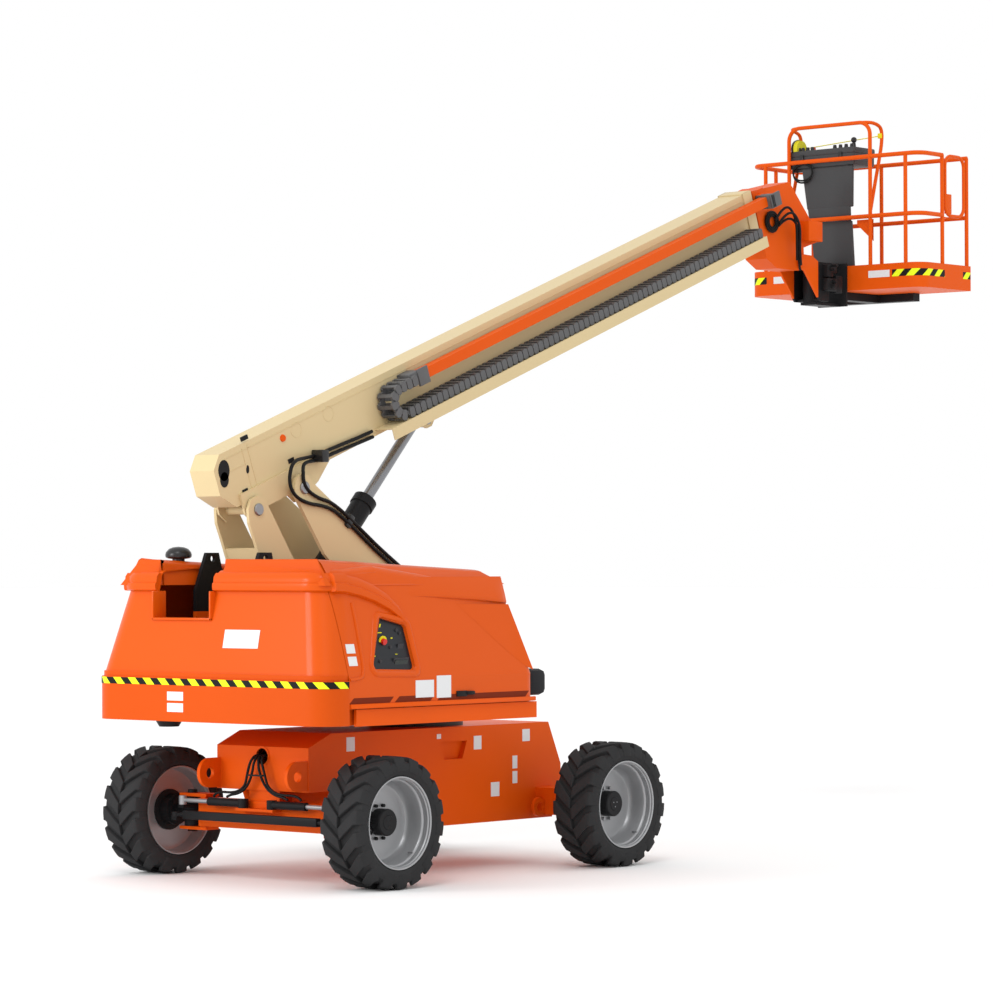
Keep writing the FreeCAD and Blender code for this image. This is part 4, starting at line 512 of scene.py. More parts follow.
def on_side(x, z, out=0.0):
    """A point on the near hood's leaning side."""
    return at(x, -(COVER_HALF - max(0, z - COVER_WAIST) * SIDE_LEAN) - out, z)


def on_rear(y, z, out=0.0):
    """A point on the rear cover's leaning back."""
    return at(-COVER_REAR + max(0, z - COVER_WAIST) * REAR_LEAN - out, y, z)


def band(mesh, path, profile):
    """A moulded band along a path of (point, outward, share of its size); its profile is (out, up)."""
    rows = [[mesh.verts.new(spot + (outward * out + Vector((0, 0, up))) * share) for out, up in profile]
            for spot, outward, share in path]
    for row in (rows[0], rows[-1]):
        mesh.faces.new(row)
    for before, after in zip(rows, rows[1:]):
        for i in range(len(profile)):
            mesh.faces.new((before[i - 1], before[i], after[i], after[i - 1]))


LIP_LOW, CORNER, CORNER_STEPS = 2.055, 0.20, 12
LIP_SHAPE = [(-0.012, -0.006), (0.020, -0.004), (0.030, 0.004), (0.033, 0.030), (0.030, 0.050),
             (0.020, 0.056), (0.020, 0.066), (0.016, 0.096), (-0.006, 0.122), (-0.040, 0.118)]


def lip_path(side, inner_y, front_x):
    """Round one rear corner of the covers, from the notch to the seam."""
    half = COVER_HALF - (LIP_LOW - COVER_WAIST) * SIDE_LEAN
    rear = -COVER_REAR + (LIP_LOW - COVER_WAIST) * REAR_LEAN
    path = [(at(rear, inner_y, LIP_LOW), Vector((-1, 0, 0)), 1)]
    for i in range(CORNER_STEPS + 1):
        angle = math.pi / 2 * i / CORNER_STEPS
        outward = Vector((-math.cos(angle), side * math.sin(angle), 0))
        path.append((at(rear + CORNER, side * (half - CORNER), LIP_LOW) + outward * CORNER, outward, 1))
    return path + [(at(front_x, side * half, LIP_LOW), Vector((0, side, 0)), 1)]


def crown(low, high, insets, bend, fall=0.0):
    """A moulded roof with sloping sides that falls to the front; insets are (rear, front, near, far)."""
    mesh = bmesh.new()
    rear, front, near, far = insets
    for vert in bmesh.ops.create_cube(mesh, size=1)["verts"]:
        top = vert.co.z > 0
        x = low.x + (rear if top else 0) if vert.co.x < 0 else high.x - (front if top else 0)
        y = low.y + (near if top else 0) if vert.co.y < 0 else high.y - (far if top else 0)
        vert.co = (x, y, high.z if top else low.z)
    if bend:
        middle = (low.x + high.x) / 2
        outer = [v for v in mesh.verts if v.co.x < middle and abs(v.co.y - NOTCH_Y) > NOTCH_CLEAR]
        eased(mesh, [e for e in mesh.edges if all(v in outer for v in e.verts)
                     and abs(e.verts[0].co.z - e.verts[1].co.z) > HAIR], bend, 10)
    seam = high.x if bend else low.x
    rim = [e for e in mesh.edges if all(v.co.z > high.z - HAIR for v in e.verts)
           and any(abs(v.co.x - seam) > HAIR for v in e.verts)]
    eased(mesh, rim, CROWN_ROUND, 4)
    for vert in mesh.verts:
        vert.co.z -= fall * (vert.co.x - low.x) / (high.x - low.x) * (vert.co.z - low.z) / (high.z - low.z)
    return mesh


NOTCH_Y, NOTCH_CLEAR, HAIR = 0.33, 0.6, 1e-4
CROWN_LOW, CROWN_HIGH, CROWN_ROUND, CROWN_LEAN, CROWN_SKIN = 2.09, 2.272, 0.045, 0.13, 0.004
SEAM, ROOF_FALL = -1.665, 0.085
crown_half = COVER_HALF - (CROWN_LOW - COVER_WAIST) * SIDE_LEAN + CROWN_SKIN
crown_rear = -COVER_REAR + (CROWN_LOW - COVER_WAIST) * REAR_LEAN - CROWN_SKIN
for name, low_y, high_y, leans in (("near", -crown_half, 0.025, (CROWN_LEAN, 0.02)),
                                   ("far", 0.635, crown_half, (0.02, CROWN_LEAN))):
    rear_roof = crown(at(crown_rear, low_y, CROWN_LOW), at(SEAM - 0.015, high_y, CROWN_HIGH),
                      (0.10, 0.0, *leans), 0.17)
    dressed(rear_roof, f"cover_roof_{name}", moulded, "turntable", 40)
    hood_roof = crown(at(SEAM + 0.003, low_y, CROWN_LOW), at(0.135, high_y, CROWN_HIGH),
                      (0.0, 0.12, *leans), 0, ROOF_FALL)
    dressed(hood_roof, f"hood_roof_{name}", moulded, f"hood_{name}", 40)
for side, name, inner_y in ((-1, "near", 0.045), (1, "far", 0.615)):
    lip = bmesh.new()
    band(lip, lip_path(side, inner_y, -1.668), LIP_SHAPE)
    dressed(lip, f"cover_lip_{name}", moulded, "turntable", 40)
sweep = bmesh.new()
SWEEP = ((-1.664, 2.055, 1), (-1.55, 2.045, 1), (-1.42, 2.02, 1), (-1.28, 1.98, 0.95), (-1.15, 1.925, 0.85),
         (-1.05, 1.865, 0.65), (-0.975, 1.80, 0.3))
band(sweep, [(on_side(x, z), Vector((0, -1, 0)), share) for x, z, share in SWEEP], LIP_SHAPE)
dressed(sweep, "hood_sweep", moulded, "hood_near", 40)
shoulder = bmesh.new()
SHOULDER = ((-0.98, 2.012, 0.0), (-0.70, 2.004, 0.012), (-0.44, 1.990, 0.022), (-0.15, 1.972, 0.028),
            (0.06, 1.955, 0.030), (0.115, 1.950, 0.012))
SHOULDER_RISE = ((0.0, 0.0), (0.03, 0.75), (0.10, 1.0), (0.30, 0.95), (0.65, 0.6), (1.0, 0.1))
ROOF_LINE, SHOULDER_SUNK = 2.145, 0.003
rows = [[shoulder.verts.new(on_side(x, z + (ROOF_LINE - z) * up, proud * out - SHOULDER_SUNK))
         for up, out in SHOULDER_RISE] for x, z, proud in SHOULDER]
for before, after in zip(rows, rows[1:]):
    for i in range(len(before) - 1):
        shoulder.faces.new((before[i], after[i], after[i + 1], before[i + 1]))
bmesh.ops.subdivide_edges(shoulder, edges=shoulder.edges[:], cuts=2, use_grid_fill=True, smooth=0.6)
dressed(shoulder, "hood_shoulder", moulded, "hood_near", 60)
flare = bmesh.new()
FLARE = ((-0.42, 1.955, 0.0), (0.115, 1.945, 0.020), (0.262, 1.475, 0.012), (0.20, 1.50, 0.0),
         (0.02, 1.62, 0.0), (-0.18, 1.77, 0.0))
flare.faces.new([flare.verts.new(on_side(x, z, proud + 0.001)) for x, z, proud in FLARE])
bmesh.ops.triangulate(flare, faces=flare.faces[:])
dressed(flare, "hood_flare", moulded, "hood_near", 60)
BEAD = ((-1.505, 1.97), (-1.50, 1.80), (-1.505, 1.55), (-1.52, 1.48), (-1.56, 1.455), (-1.66, 1.45))
tube("hood_bead", [on_side(x, z) for x, z in BEAD], 0.012, moulded, "hood_near")
cover_plate = bmesh.new()
rear_tilt = Matrix.Rotation(math.atan(REAR_LEAN), 4, "Y")
slab(cover_plate, on_rear(-0.28, 1.72, 0.002), (0.003, 0.34, 0.13), rear_tilt)
dressed(cover_plate, "cover_plate", plate_white, "turntable")
NOTCH_SIDES = ((0.035, 0.052, 2.05), (0.608, 0.625, 2.05), (0.035, 0.625, 1.862))
blocks("notch_lining",
       [(at(-1.80, right, 1.845), at(-1.67, left, top), 0.005) for right, left, top in NOTCH_SIDES],
       moulded, "turntable")

# Control window. A sloping black panel behind a raised frame in the near hood, with a stop
# button, a small screen, keys and blank yellow marks. A pull latch and blank plates sit below.
panel_black = finish("panel black", (0.012, 0.014, 0.018), 0.35, mottle=0.15, grain=0.05, specular=0.3)
paint(panel_black, "control_panel")
WINDOW = [(-1.414, 1.516), (-1.249, 1.869), (-1.001, 1.812), (-0.975, 1.501)]
FRAME_STEPS = [(0.052, -0.003), (0.044, 0.010), (0.030, 0.016), (0.012, 0.010), (0.0, -0.012),
               (-0.004, -0.040)]
WINDOW_BEND, BEND_GROWTH = 0.035, 0.6
middle_x, middle_z = (sum(spots) / len(WINDOW) for spots in zip(*WINDOW))


def window_ring(mesh, grow, out):
    """The window's rounded outline, grown and set out from the hood's side."""
    corners = [(x + grow * math.copysign(1, x - middle_x), z + grow * math.copysign(1, z - middle_z))
               for x, z in WINDOW]
    outline = round_path(corners, [WINDOW_BEND + max(0, grow * BEND_GROWTH)] * len(WINDOW), 6)
    loop = [mesh.verts.new(on_side(p.x, p.y, out)) for p in outline]
    return [mesh.edges.new((loop[i - 1], loop[i])) for i in range(len(loop))]


surround = bmesh.new()
rings = [window_ring(surround, grow, out) for grow, out in FRAME_STEPS]
for outer, inner in zip(rings, rings[1:]):
    bmesh.ops.bridge_loops(surround, edges=outer + inner)
dressed(surround, "window_frame", moulded, "hood_near", 50)
PANEL_DEPTH = 0.026
yellow = finish("yellow marks", (0.80, 0.72, 0.02), 0.5, mottle=0.05, grain=0.03)
red = finish("red stop button", (0.62, 0.015, 0.01), 0.35, mottle=0.05, grain=0.03, specular=0.4)
screen = finish("screen glass", (0.004, 0.012, 0.008), 0.15, mottle=0.3, grain=0.01, specular=0.5)
key_black = finish("dark keys", (0.05, 0.05, 0.055), 0.4)
face_tilt = Matrix.Rotation(math.atan(SIDE_LEAN), 4, "X") @ LAY_FLAT


def on_panel(mesh, x, z, wide, tall, proud, corners=4):
    """A small raised piece on the panel: a block, or with more corners a round one."""
    spot = on_side(x, z, -PANEL_DEPTH)
    if corners == 4:
        slab(mesh, spot, (wide, tall, proud * 2), face_tilt)
    else:
        cone(mesh, spot, wide / 2, tall / 2, proud * 2, corners, face_tilt)


MARKS = ((-1.345, 1.78, 0.012, 0.06), (-1.34, 1.69, 0.012, 0.05), (-1.36, 1.60, 0.045, 0.018),
         (-1.24, 1.80, 0.014, 0.05), (-1.255, 1.76, 0.05, 0.014), (-1.14, 1.72, 0.018, 0.018),
         (-1.12, 1.61, 0.02, 0.012), (-1.37, 1.575, 0.02, 0.03))
KNOBS = ((-1.335, 1.84), (-1.08, 1.78), (-1.05, 1.76), (-1.345, 1.64), (-1.17, 1.665), (-1.30, 1.57))
STOP_SPOT = (-1.235, 1.705)
for name, material, raised in (
        ("panel_marks", yellow, [(*mark, 0.001) for mark in MARKS] + [(*STOP_SPOT, 0.075, 0.075, 0.004, 28)]),
        ("panel_stop_button", red,
         [(*STOP_SPOT, 0.03, 0.03, 0.018, 20), (*STOP_SPOT, 0.046, 0.042, 0.026, 24)]),
        ("panel_keys", key_black, [(-1.09, 1.56, 0.15, 0.062, 0.004), (-1.07, 1.655, 0.055, 0.06, 0.003)]
         + [(*knob, 0.026, 0.022, 0.012, 12) for knob in KNOBS]),
        ("panel_screen", screen, [(-1.09, 1.553, 0.13, 0.042, 0.0055)])):
    fitting = bmesh.new()
    for piece in raised:
        on_panel(fitting, *piece)
    dressed(fitting, name, material, "turntable")
hood_cards = bmesh.new()
for x, z, wide, tall in ((-1.60, 1.66, 0.085, 0.065), (-1.60, 1.575, 0.085, 0.065),
                         (-0.90, 1.370, 0.19, 0.12), (-0.70, 1.38, 0.15, 0.155)):
    lean = math.atan(SIDE_LEAN) if z > COVER_WAIST else 0
    slab(hood_cards, on_side(x, z, 0.001), (wide, 0.003, tall), Matrix.Rotation(-lean, 4, "X"))
dressed(hood_cards, "hood_plates", plate_white, "hood_near")
blocks("hood_latch", ((at(-0.57, -1.178, 1.305), at(-0.46, -1.163, 1.345), 0.006),
                      (at(-0.47, -1.186, 1.315), at(-0.385, -1.163, 1.342), 0.008)),
       black_coat, "hood_near")

# Air precleaner. A black plastic bowl with a domed top, on a short stem above the far hood's
# roof. It is turned about its own axis from one outline.
plastic_black = finish("moulded black plastic", (0.016, 0.016, 0.017), 0.3, mottle=0.15, grain=0.1,
                       specular=0.4)
bowl = bmesh.new()
bowl_low, bowl_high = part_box("precleaner")
bowl_foot = Vector(((bowl_low.x + bowl_high.x) / 2, (bowl_low.y + bowl_high.y) / 2, 0))
BOWL = [(2.195, 0.001), (2.195, 0.045), (2.275, 0.045), (2.280, 0.078), (2.288, 0.093), (2.305, 0.096),
        (2.325, 0.090), (2.348, 0.070), (2.360, 0.040), (2.364, 0.001)]
spun(bowl, BOWL, bowl_foot, 40, Vector((0, 0, 1)), Vector((1, 0, 0)))
bowl_piece = dressed(bowl, "precleaner_bowl", plastic_black, "hood_far")
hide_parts("precleaner")

# Boom linkage. Cream painted plate: the arm and the rear link turn on plated pins, and a chromed
# rod in a black barrel raises the boom. Two hoses run up the arm's front edge through a clamp.
cream = finish("cream powder coat", (0.66, 0.53, 0.30), 0.4, mottle=0.03, mottle_size=1.4, grain=0.08,
               grain_size=300)
paint(cream, "lift_arm", "rear_link", "boom_base", "boom_mid", "boom_fly", "cable_tray")
chrome = finish("chromed rod", (0.24, 0.245, 0.26), 0.3, metallic=0.8, mottle=0.02, grain=0.0, specular=0.5)
paint(chrome, "lift_rod")
paint(black_coat, "lift_barrel")
pin_steel = finish("plated pin", (0.30, 0.30, 0.31), 0.36, metallic=0.85, mottle=0.1, grain=0.08)
PIN_SUNK, PIN_RIM, PIN_PROUD = 0.012, 0.004, 0.010
for name, joint, half, radius, body in (("arm_pin", "boom_lift", 0.222, 0.046, "lift_arm"),
                                        ("link_pin", "rear_link_turn", 0.180, 0.044, "rear_link"),
                                        ("rod_pin", "lift_rod_turn", 0.121, 0.040, "boom_base")):
    head = bmesh.new()
    outline = [(half - PIN_SUNK, 0.001), (half - PIN_SUNK, radius), (half + PIN_RIM, radius),
               (half + PIN_PROUD, radius - 0.006), (half + PIN_PROUD, 0.001)]
    for side in (-1, 1):
        spun(head, [(side * along, reach) for along, reach in outline], pivots[joint], 32)
    dressed(head, f"{name}_heads", pin_steel, body)
HOSE_SIDE, HOSE_INSET, HOSE_RADIUS = 0.115, 0.017, 0.0135
ARM_HOSES = ([(-0.935, 2.87), (-0.94, 2.80), (-0.87, 2.715), (-0.73, 2.67), (-0.60, 2.66), (-0.48, 2.63),
              (-0.353, 2.556), (-0.19, 2.447), (0.025, 2.30), (0.242, 2.175)],
             [(-0.795, 2.90), (-0.80, 2.84), (-0.75, 2.765), (-0.63, 2.71), (-0.52, 2.69), (-0.42, 2.64),
              (-0.32, 2.578), (-0.155, 2.467), (0.055, 2.325), (0.275, 2.195)])
for i, route in enumerate(ARM_HOSES):
    tube(f"arm_hose_{i}", [at(x, HOSE_SIDE - HOSE_INSET, z) for x, z in route], HOSE_RADIUS, hose_rubber,
         "lift_arm")
clamp = bmesh.new()
(upper_x, upper_z), (lower_x, lower_z) = ARM_HOSES[0][6], ARM_HOSES[0][9]
edge_turn = Matrix.Rotation(math.atan2(upper_z - lower_z, lower_x - upper_x), 4, "Y")
slab(clamp, at(-0.30, HOSE_SIDE, 2.548), (0.055, 0.05, 0.10), edge_turn)
eased(clamp, clamp.edges[:], 0.008)
dressed(clamp, "arm_hose_clamps", plastic_black, "lift_arm")
BOOM_HOSES = ([(-0.935, 0.098, 2.86), (-0.925, 0.10, 2.93), (-0.85, 0.12, 2.985), (-0.74, 0.15, 3.0),
               (-0.60, 0.175, 3.02), (-0.554, 0.185, 3.03), (-0.30, 0.185, 3.112), (-0.10, 0.185, 3.17),
               (0.03, 0.185, 3.215)],
              [(-0.795, 0.098, 2.89), (-0.79, 0.11, 2.94), (-0.72, 0.14, 2.975), (-0.60, 0.17, 2.985),
               (-0.52, 0.185, 3.0), (-0.30, 0.185, 3.072), (-0.10, 0.185, 3.13), (0.04, 0.185, 3.175)])
for i, route in enumerate(BOOM_HOSES):
    tube(f"boom_hose_{i}", [at(*spot) for spot in route], HOSE_RADIUS, hose_rubber, "boom_base")
blocks("boom_hose_clamp", [(at(-0.60, 0.09, 2.975), at(-0.53, 0.205, 3.065), 0.008)],
       plastic_black, "boom_base")

# Boom. Three nested box sections of cream painted plate, with a collar at the outer one's mouth.
# Weld seams, openings drawn as thin black discs and bars whose black is painted shade, and a plug
# show on its near side. BOOM puts in place a shape that is given along, across and up from the boom's pin.
BOOM_TURN = Matrix.Rotation(math.radians(-20.4), 4, "Y")
BOOM = Matrix.Translation(pivots["boom_lift"]) @ BOOM_TURN
BOOM_SIDE, HALF_BOOM, BOOM_END = 0.33, 0.120, 6.040


def hoop(mesh, place, radius, thick, sides):
    """A ring of round bar about the boom's crosswise axis."""
    section = [math.tau * i / sides for i in range(sides)]
    spun(mesh, [(thick * math.cos(a), radius + thick * math.sin(a)) for a in section], Vector(place), 36)


SEAM_FRONT, SEAM_PROUD = 5.9, 0.003
SEAM_LINES = [(side * HALF_BOOM, start, low, high) for side in (-1, 1)
              for start, low, high in ((-0.62, 0.43, 0.4345), (0.52, 0.098, 0.1025))]
blocks("boom_seams", [((start, y - SEAM_PROUD, low), (SEAM_FRONT, y + SEAM_PROUD, high), 0)
                      for y, start, low, high in SEAM_LINES], cream, "boom_base", BOOM)
COLLAR_SIDES = ((-0.132, 0.132, 0.476, 0.490), (-0.132, 0.132, 0.058, 0.072), (-0.133, -0.119, 0.058, 0.490),
                (0.119, 0.133, 0.058, 0.490))
blocks("boom_collar",
       [((5.92, right, low), (6.035, left, high), 0.002) for right, left, low, high in COLLAR_SIDES],
       cream, "boom_base", BOOM)
MARK_SIDE = BOOM_SIDE - HALF_BOOM
# The openings are thin black discs and bars on the boom's side; their black is painted shade standing in for
# the dark inside of the holes.
painted_shade_openings = bmesh.new()
for x, z, wide, tall in ((-1.49, 2.90, 0.055, 0.075), (-1.485, 2.835, 0.042, 0.055),
                         (-1.251, 2.913, 0.014, 0.03)):
    cone(painted_shade_openings, at(x, MARK_SIDE, z), 1, 1, 1, 28, Matrix.Diagonal((wide, 0.006, tall, 1)) @ LAY_FLAT)
for x, z, wide in ((-1.286, 3.135, 0.07), (-1.277, 2.757, 0.055), (-0.807, 2.985, 0.06)):
    slab(painted_shade_openings, at(x, MARK_SIDE, z), (wide, 0.012, 0.032), BOOM_TURN)
dressed(painted_shade_openings, "boom_openings_painted_shade", black_coat, "boom_base")
plug = bmesh.new()
cone(plug, at(-0.892, MARK_SIDE - 0.004, 3.144), 0.028, 0.024, 0.012, 20, LAY_FLAT)
dressed(plug, "boom_side_plug", steel_orange, "boom_base")
welds = bmesh.new()
for along in (0.16, 0.52):
    hoop(welds, (along, -HALF_BOOM, 0.39), 0.055, 0.0025, 6)
for low, high in (((-0.42, -0.1225, 0.10), (-0.415, -0.117, 0.45)),
                  ((-0.64, -0.1225, 0.33), (-0.42, -0.117, 0.335)),
                  ((-0.36, -0.123, 0.09), (-0.352, -0.117, 0.46))):
    block(welds, low, high, 0)
dressed(welds, "boom_weld_lines", cream, "boom_base", place=BOOM)

# Cable chain and carrier. Moulded grey links hinge on one another round the loop and run on the
# tray; the orange square tube pulls the chain's upper end out with the fly section.
link_grey = finish("grey chain plastic", (0.105, 0.105, 0.107), 0.5, mottle=0.12, grain=0.15, specular=0.3)
CHAIN_MIDDLE, CHAIN_HALF = -0.208, 0.075
LOOP_X, LOOP_Z, LOOP_R, LINK_TALL, LINK_LONG = 1.170, 0.2625, 0.145, 0.085, 0.066
PLATE_HALF, PIN_PLACE, BAR_PLACE = 0.009, -LINK_LONG * 0.40, LINK_TALL * 0.40
TRAY_START, TRAY_SHORT, LAST_LINKS = 0.950, 0.380, 3
mid_radius = LOOP_R - LINK_TALL / 2
straight = BOOM_END - TRAY_SHORT - TRAY_START
turns = round(math.pi * mid_radius / LINK_LONG)
bends = [math.pi * (i + 0.5) / turns for i in range(turns)]
track = [(LOOP_X + straight - LINK_LONG * (i + 0.5), LOOP_Z - mid_radius, 0)
         for i in range(int(straight / LINK_LONG))]
track += [(LOOP_X - mid_radius * math.sin(a), LOOP_Z - mid_radius * math.cos(a), a) for a in bends]
track += [(LOOP_X + LINK_LONG * (i + 0.5), LOOP_Z + mid_radius, math.pi) for i in range(LAST_LINKS)]
chain = bmesh.new()
for along, up, turn in track:
    link = bmesh.new()
    for side in (-1, 1):
        plate_y = CHAIN_MIDDLE + side * (CHAIN_HALF - PLATE_HALF)
        side_plate = slab(link, (0, plate_y, 0), (LINK_LONG * 0.86, PLATE_HALF * 2, LINK_TALL * 0.94))
        corners = [e for e in edges_of(side_plate) if abs((e.verts[0].co - e.verts[1].co).y) > PLATE_HALF]
        eased(link, corners, 0.014, 1)
        cone(link, (PIN_PLACE, plate_y - side * 0.006, 0), 0.02, 0.018, 0.012, 10, LAY_FLAT)
    for bar_z in (-BAR_PLACE, BAR_PLACE):
        slab(link, (0.004, CHAIN_MIDDLE, bar_z), (LINK_LONG * 0.42, CHAIN_HALF * 2 - 0.03, 0.010))
    matrix = Matrix.Translation((along, 0, up)) @ Matrix.Rotation(turn, 4, "Y")
    bmesh.ops.transform(link, matrix=matrix, verts=link.verts)
    link_data = bpy.data.meshes.new("link")
    link.to_mesh(link_data)
    link.free()
    chain.from_mesh(link_data)
    bpy.data.meshes.remove(link_data)
chain_piece = dressed(chain, "chain_links", link_grey, "boom_base", 25, BOOM)
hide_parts("cable_chain")
paint(steel_orange, "carrier_tube")
blocks("chain_bracket", (((1.32, -0.255, 0.316), (1.44, -0.120, 0.420), 0.006),
                         ((1.40, -0.265, 0.300), (1.52, -0.245, 0.430), 0.004)),
       link_grey, "boom_fly", BOOM)

# Boom nose and platform support. An orange fabricated head on the fly section has a coil of hose
# on its side. The support ends in a black rotator with valve blocks, and hoses hang beside it.
paint(steel_orange, "fly_nose")
turn_axis = pivots["platform_rotate"]
at_rotator = Matrix.Translation(turn_axis)
paint(black_past("orange support, black rotator", "X", turn_axis.x - 0.115), "platform_support")
paint(black_coat, "platform_mount")
coil = bmesh.new()
for radius, thick, across in ((0.085, 0.010, -0.128), (0.068, 0.010, -0.130), (0.050, 0.009, -0.130)):
    hoop(coil, (6.24, across, 0.155), radius, thick, 8)
dressed(coil, "nose_hose_ring", hose_rubber, "boom_fly", place=BOOM)
blocks("levelling_bracket", [((-0.36, -0.22, 0.27), (-0.16, -0.12, 0.44), 0.006)],
       steel_orange, "boom_fly", at_rotator)
blocks("carrier_clamp", (((6.10, -0.275, 0.30), (6.16, -0.115, 0.42), 0.008),
                         ((6.10, -0.275, 0.30), (6.24, -0.255, 0.42), 0.006)),
       link_grey, "boom_fly", BOOM)
VALVE_SIDE = -0.21
valves = bmesh.new()
for low, high in (((-0.05, -0.19, -0.02), (0.04, -0.10, 0.09)), ((-0.06, -0.20, -0.14), (0.08, -0.09, -0.03)),
                  ((0.05, -0.15, 0.02), (0.15, -0.09, 0.10)), ((0.10, -0.17, -0.15), (0.20, -0.10, 0.0))):
    block(valves, low, high, 0.008)
for x, z in ((0.0, 0.05), (0.0, -0.10), (0.03, 0.08), (0.02, -0.06)):
    cone(valves, (x, VALVE_SIDE, z), 0.02, 0.016, 0.05, 16, LAY_FLAT)
dressed(valves, "rotator_valves", black_coat, "platform", place=at_rotator)
for i, across in enumerate((-0.14, -0.17, -0.15)):
    start = BOOM @ Vector((6.30 - 0.02 * i, across, 0.10 + 0.03 * i))
    steps = ((0, 0, 0), (0.10, -0.03, 0.10 + 0.03 * i), (0.22, -0.06, 0.02 * i),
             (0.20 + 0.02 * i, -0.05, -0.22), (0.28, -0.02, -0.36 + 0.02 * i))
    route = [start + Vector(step) for step in steps]
    tube(f"nose_hose_{i}", route, 0.011, hose_rubber, "boom_fly")

# Platform. An orange basket: pressed floor pan with toe boards, welded tube rails, a swing gate and
# a grey moulded console on a tapered shroud. Hazard tape and blank plates mark its corners.
paint(steel_orange, "platform_rails", "platform_floor")
console_grey = finish("grey moulded console", (0.052, 0.053, 0.055), 0.5, mottle=0.08, grain=0.2,
                      specular=0.25)
floor_low, floor_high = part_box("platform_floor")
platform_rear, platform_front = floor_low.x, floor_high.x
platform_near, platform_far = floor_low.y, floor_high.y
toe_low, toe_high = floor_low.z + 0.100, floor_low.z + 0.160
console_low, console_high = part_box("control_console")
CONSOLE_TALL, LID_LOW, LID_SEAM, SHROUD_THICK = 0.16, 0.055, 0.045, 0.032


def on_console(along, across, up):
    """A point from the console's near rear top edge."""
    return Vector((console_low.x + along, console_low.y + across, console_high.z + up))


console = bmesh.new()
deep, wide = console_high.x - console_low.x, console_high.y - console_low.y
block(console, on_console(0, 0, -CONSOLE_TALL), on_console(deep, wide, -LID_SEAM), 0.018)
block(console, on_console(-0.003, -0.004, -LID_LOW), on_console(deep + 0.003, wide + 0.004, -0.001), 0.014)
shroud_high, shroud_low = -CONSOLE_TALL - 0.002, console_low.z - console_high.z
for high, low, high_sides, low_sides, depth in (
        (shroud_high, shroud_high - 0.36, (0.015, 0.555), (0.02, 0.50), SHROUD_THICK),
        (shroud_high - 0.350, shroud_high - 0.49, (0.045, 0.495), (0.04, 0.475), SHROUD_THICK - 0.006),
        (shroud_high - 0.480, shroud_low, (0.03, 0.47), (0.0, 0.41), SHROUD_THICK - 0.002)):
    made = bmesh.ops.create_cube(console, size=1)["verts"]
    for vert in made:
        near, far = high_sides if vert.co.z > 0 else low_sides
        vert.co = on_console(depth if vert.co.x > 0 else 0, near if vert.co.y < 0 else far,
                             high if vert.co.z > 0 else low)
    eased(console, edges_of(made), 0.010, 3)
console_piece = dressed(console, "console_and_shroud", console_grey, "platform", 40)
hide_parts("control_console")
fittings = bmesh.new()
for across in (0.14, wide - 0.14):
    block(fittings, on_console(-0.012, across - 0.02, -0.085), on_console(0.002, across + 0.02, -0.04), 0.004)
block(fittings, on_console(0.004, 0.06, -CONSOLE_TALL - 0.028),
      on_console(0.03, wide - 0.05, -CONSOLE_TALL + 0.002), 0.003)
for across in (0.05, 0.11, 0.17, 0.23, 0.47, 0.52, 0.57, 0.61):
    cone(fittings, on_console(0.045, across, 0.012), 0.020, 0.014, 0.036, 14)
cone(fittings, on_console(0.09, 0.06, 0.028), 0.020, 0.013, 0.06)
bmesh.ops.create_uvsphere(fittings, u_segments=16, v_segments=10, radius=0.026,
                          matrix=Matrix.Translation(on_console(0.09, 0.06, 0.065)))
dressed(fittings, "console_switches", plastic_black, "platform", 40)
CABLE_LOOP, LOOP_WIDE, LOOP_TALL = [math.tau * k / 9 + 0.4 for k in range(10)], 0.11, 0.075
for i, reach in enumerate((0.0, 0.02)):
    middle = on_console(-0.02, wide - 0.16, -CONSOLE_TALL - 0.035)
    loop = [middle + Vector((0, LOOP_WIDE * math.cos(a) * (1 - reach), (LOOP_TALL + reach) * math.sin(a)))
            for a in CABLE_LOOP]
    tube(f"console_cable_{i}", loop, 0.008, hose_rubber, "platform")
stop_knob = bmesh.new()
cone(stop_knob, on_console(0.09, wide - 0.2, 0.015), 0.022, 0.018, 0.03, 20)
dressed(stop_knob, "console_stop_button", red, "platform")
gate_low, gate_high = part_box("platform_gate")
gate_y, GATE_TUBE, GATE_BEND, GATE_SIDES = (gate_low.y + gate_high.y) / 2, 0.015, 0.09, 10
left, right = gate_low.x + GATE_TUBE, gate_high.x - GATE_TUBE
bottom, top = gate_low.z + GATE_TUBE, gate_high.z - GATE_TUBE
gate_line = round_path([(left, bottom), (right, bottom), (right, top), (left, top)], [GATE_BEND] * 4, 8)
outline = [Vector((p.x, gate_y, p.y)) for p in gate_line]
gate = bmesh.new()
rims = []
for before, spot, after in zip([outline[-1]] + outline[:-1], outline, outline[1:] + [outline[0]]):
    across = (after - before).normalized().cross(Vector((0, 1, 0)))
    rims.append([gate.verts.new(spot + (across * math.cos(a) + Vector((0, 1, 0)) * math.sin(a)) * GATE_TUBE)
                 for a in (math.tau * k / GATE_SIDES for k in range(GATE_SIDES))])
for before, after in zip([rims[-1]] + rims[:-1], rims):
    for k in range(GATE_SIDES):
        gate.faces.new((before[k - 1], before[k], after[k], after[k - 1]))
gate_piece = dressed(gate, "gate_frame", steel_orange, "platform_gate", 60)
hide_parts("platform_gate")
blocks("gate_latch_plate", [((gate_low.x + 0.02, gate_y - 0.012, gate_low.z + 0.03),
                             (gate_low.x + 0.10, gate_y + 0.012, gate_low.z + 0.20), 0.004)],
       steel_orange, "platform_gate")
GUARD_NEAR, GUARD_FAR, rail_top = -0.045, 0.815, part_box("platform_rails")[1].z
GUARD_LEG = ((0.024, 0.11, -0.018), (0.03, 0.02, -0.018), (0.11, -0.005, -0.028), (0.20, 0, -0.058),
             (0.205, 0, -0.178), (0.155, 0, -0.358), (0.09, 0, -0.568), (0.03, 0, -0.778))
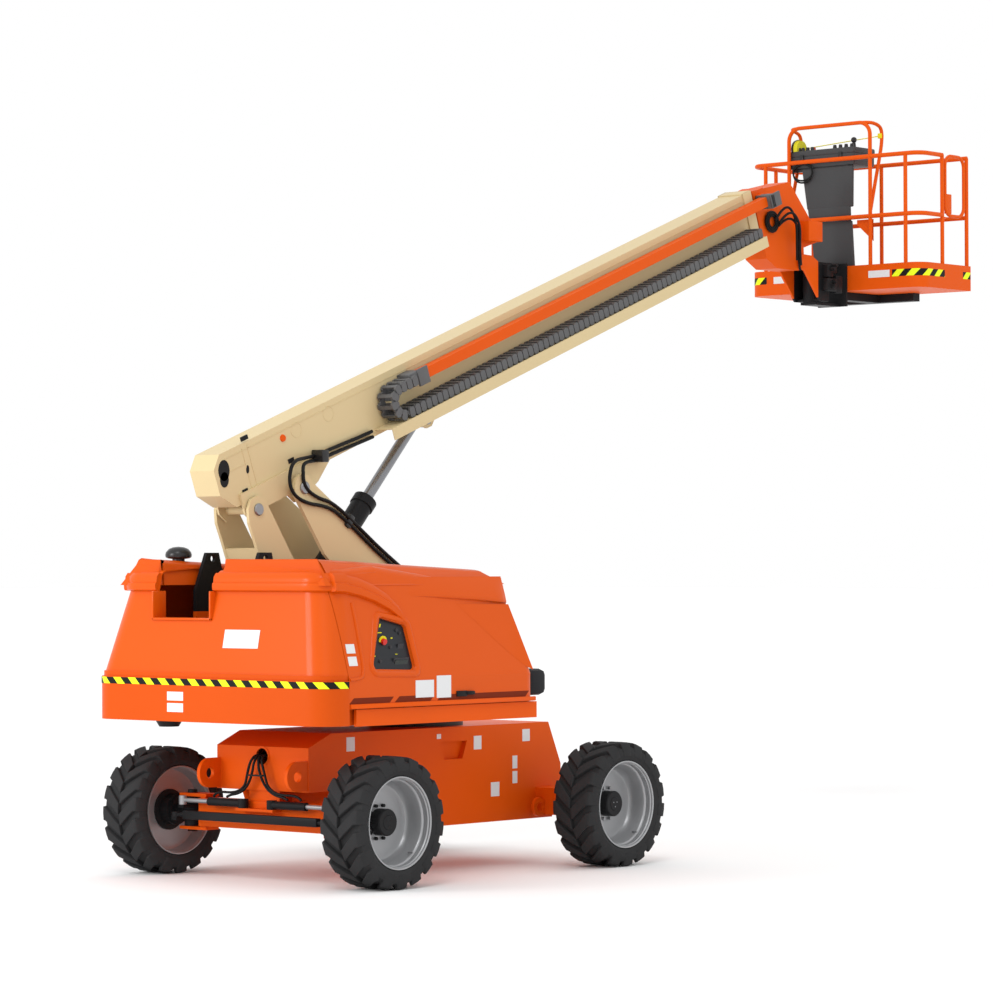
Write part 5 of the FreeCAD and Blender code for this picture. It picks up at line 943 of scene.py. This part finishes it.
for name, y, inward in (("near", GUARD_NEAR, 1), ("far", GUARD_FAR, -1)):
    leg = [(platform_rear + ahead, y + across * inward, rail_top + up) for ahead, across, up in GUARD_LEG]
    tube(f"guard_leg_{name}", leg, 0.0155, steel_orange, "platform")
gussets = bmesh.new()
GUSSET = ((-0.02, 5.19), (0.15, 5.19), (0.15, 5.15), (-0.02, 5.0))
for y, inward in ((GUARD_NEAR, 1), (GUARD_FAR, -1)):
    corners = [gussets.verts.new((platform_rear + ahead, y + (across * inward if across > 0 else across), z))
               for ahead in (0.040, 0.045) for across, z in GUSSET]
    gussets.faces.new(corners[:4])
    gussets.faces.new(corners[4:])
    for k in range(4):
        gussets.faces.new((corners[k - 1], corners[k], corners[4 + k], corners[4 + k - 1]))
dressed(gussets, "guard_gussets", steel_orange, "platform")
near_side, far_side, back = platform_near - 0.0005, platform_far + 0.0005, platform_rear - 0.0005
TOE_BENDS = (0, 0.134, 0)
for name, corners, bends in (
        ("near", ((back, near_side + 0.30), (back, near_side), (back + 0.36, near_side)), TOE_BENDS),
        ("far", ((back + 0.154, far_side), (back, far_side), (back, far_side - 0.20)), TOE_BENDS),
        ("gate", ((platform_front - 0.12, near_side), (platform_front - 0.005, near_side)), (0, 0))):
    taped(f"toe_tape_{name}", round_path(corners, bends), toe_low, toe_high, "platform")
blocks("toe_plates", [((platform_rear - 0.0015, y, toe_low), (platform_rear + 0.001, y + 0.22, toe_high), 0)
                      for y in (-0.26, 0.75)], plate_white, "platform")
reel_spot = Vector((platform_rear + 0.12, GUARD_FAR - 0.035, rail_top - 0.19))
reel_yellow = finish("yellow reel", (0.66, 0.62, 0.03), 0.5)
for name, outline, material in (
        ("switch_reel", [(-0.035, 0.001), (-0.035, 0.075), (0.0, 0.082), (0.0, 0.001)], reel_yellow),
        ("switch_reel_back", [(0.0, 0.001), (0.0, 0.088), (0.022, 0.084), (0.022, 0.001)], plastic_black)):
    reel = bmesh.new()
    spun(reel, outline, reel_spot, 30)
    dressed(reel, name, material, "platform")
end_spot = Vector((platform_rear + 0.20, GUARD_NEAR + 0.02, rail_top - 0.125))
tube("switch_cable", [reel_spot + Vector((0, -0.03, 0)), (reel_spot + end_spot) / 2, end_spot], 0.004, yellow,
     "platform")
blocks("switch_catch", [((-0.02, -0.03, -0.022), (0.02, 0.01, 0.022), 0.005)],
       yellow, "platform", Matrix.Translation(end_spot))
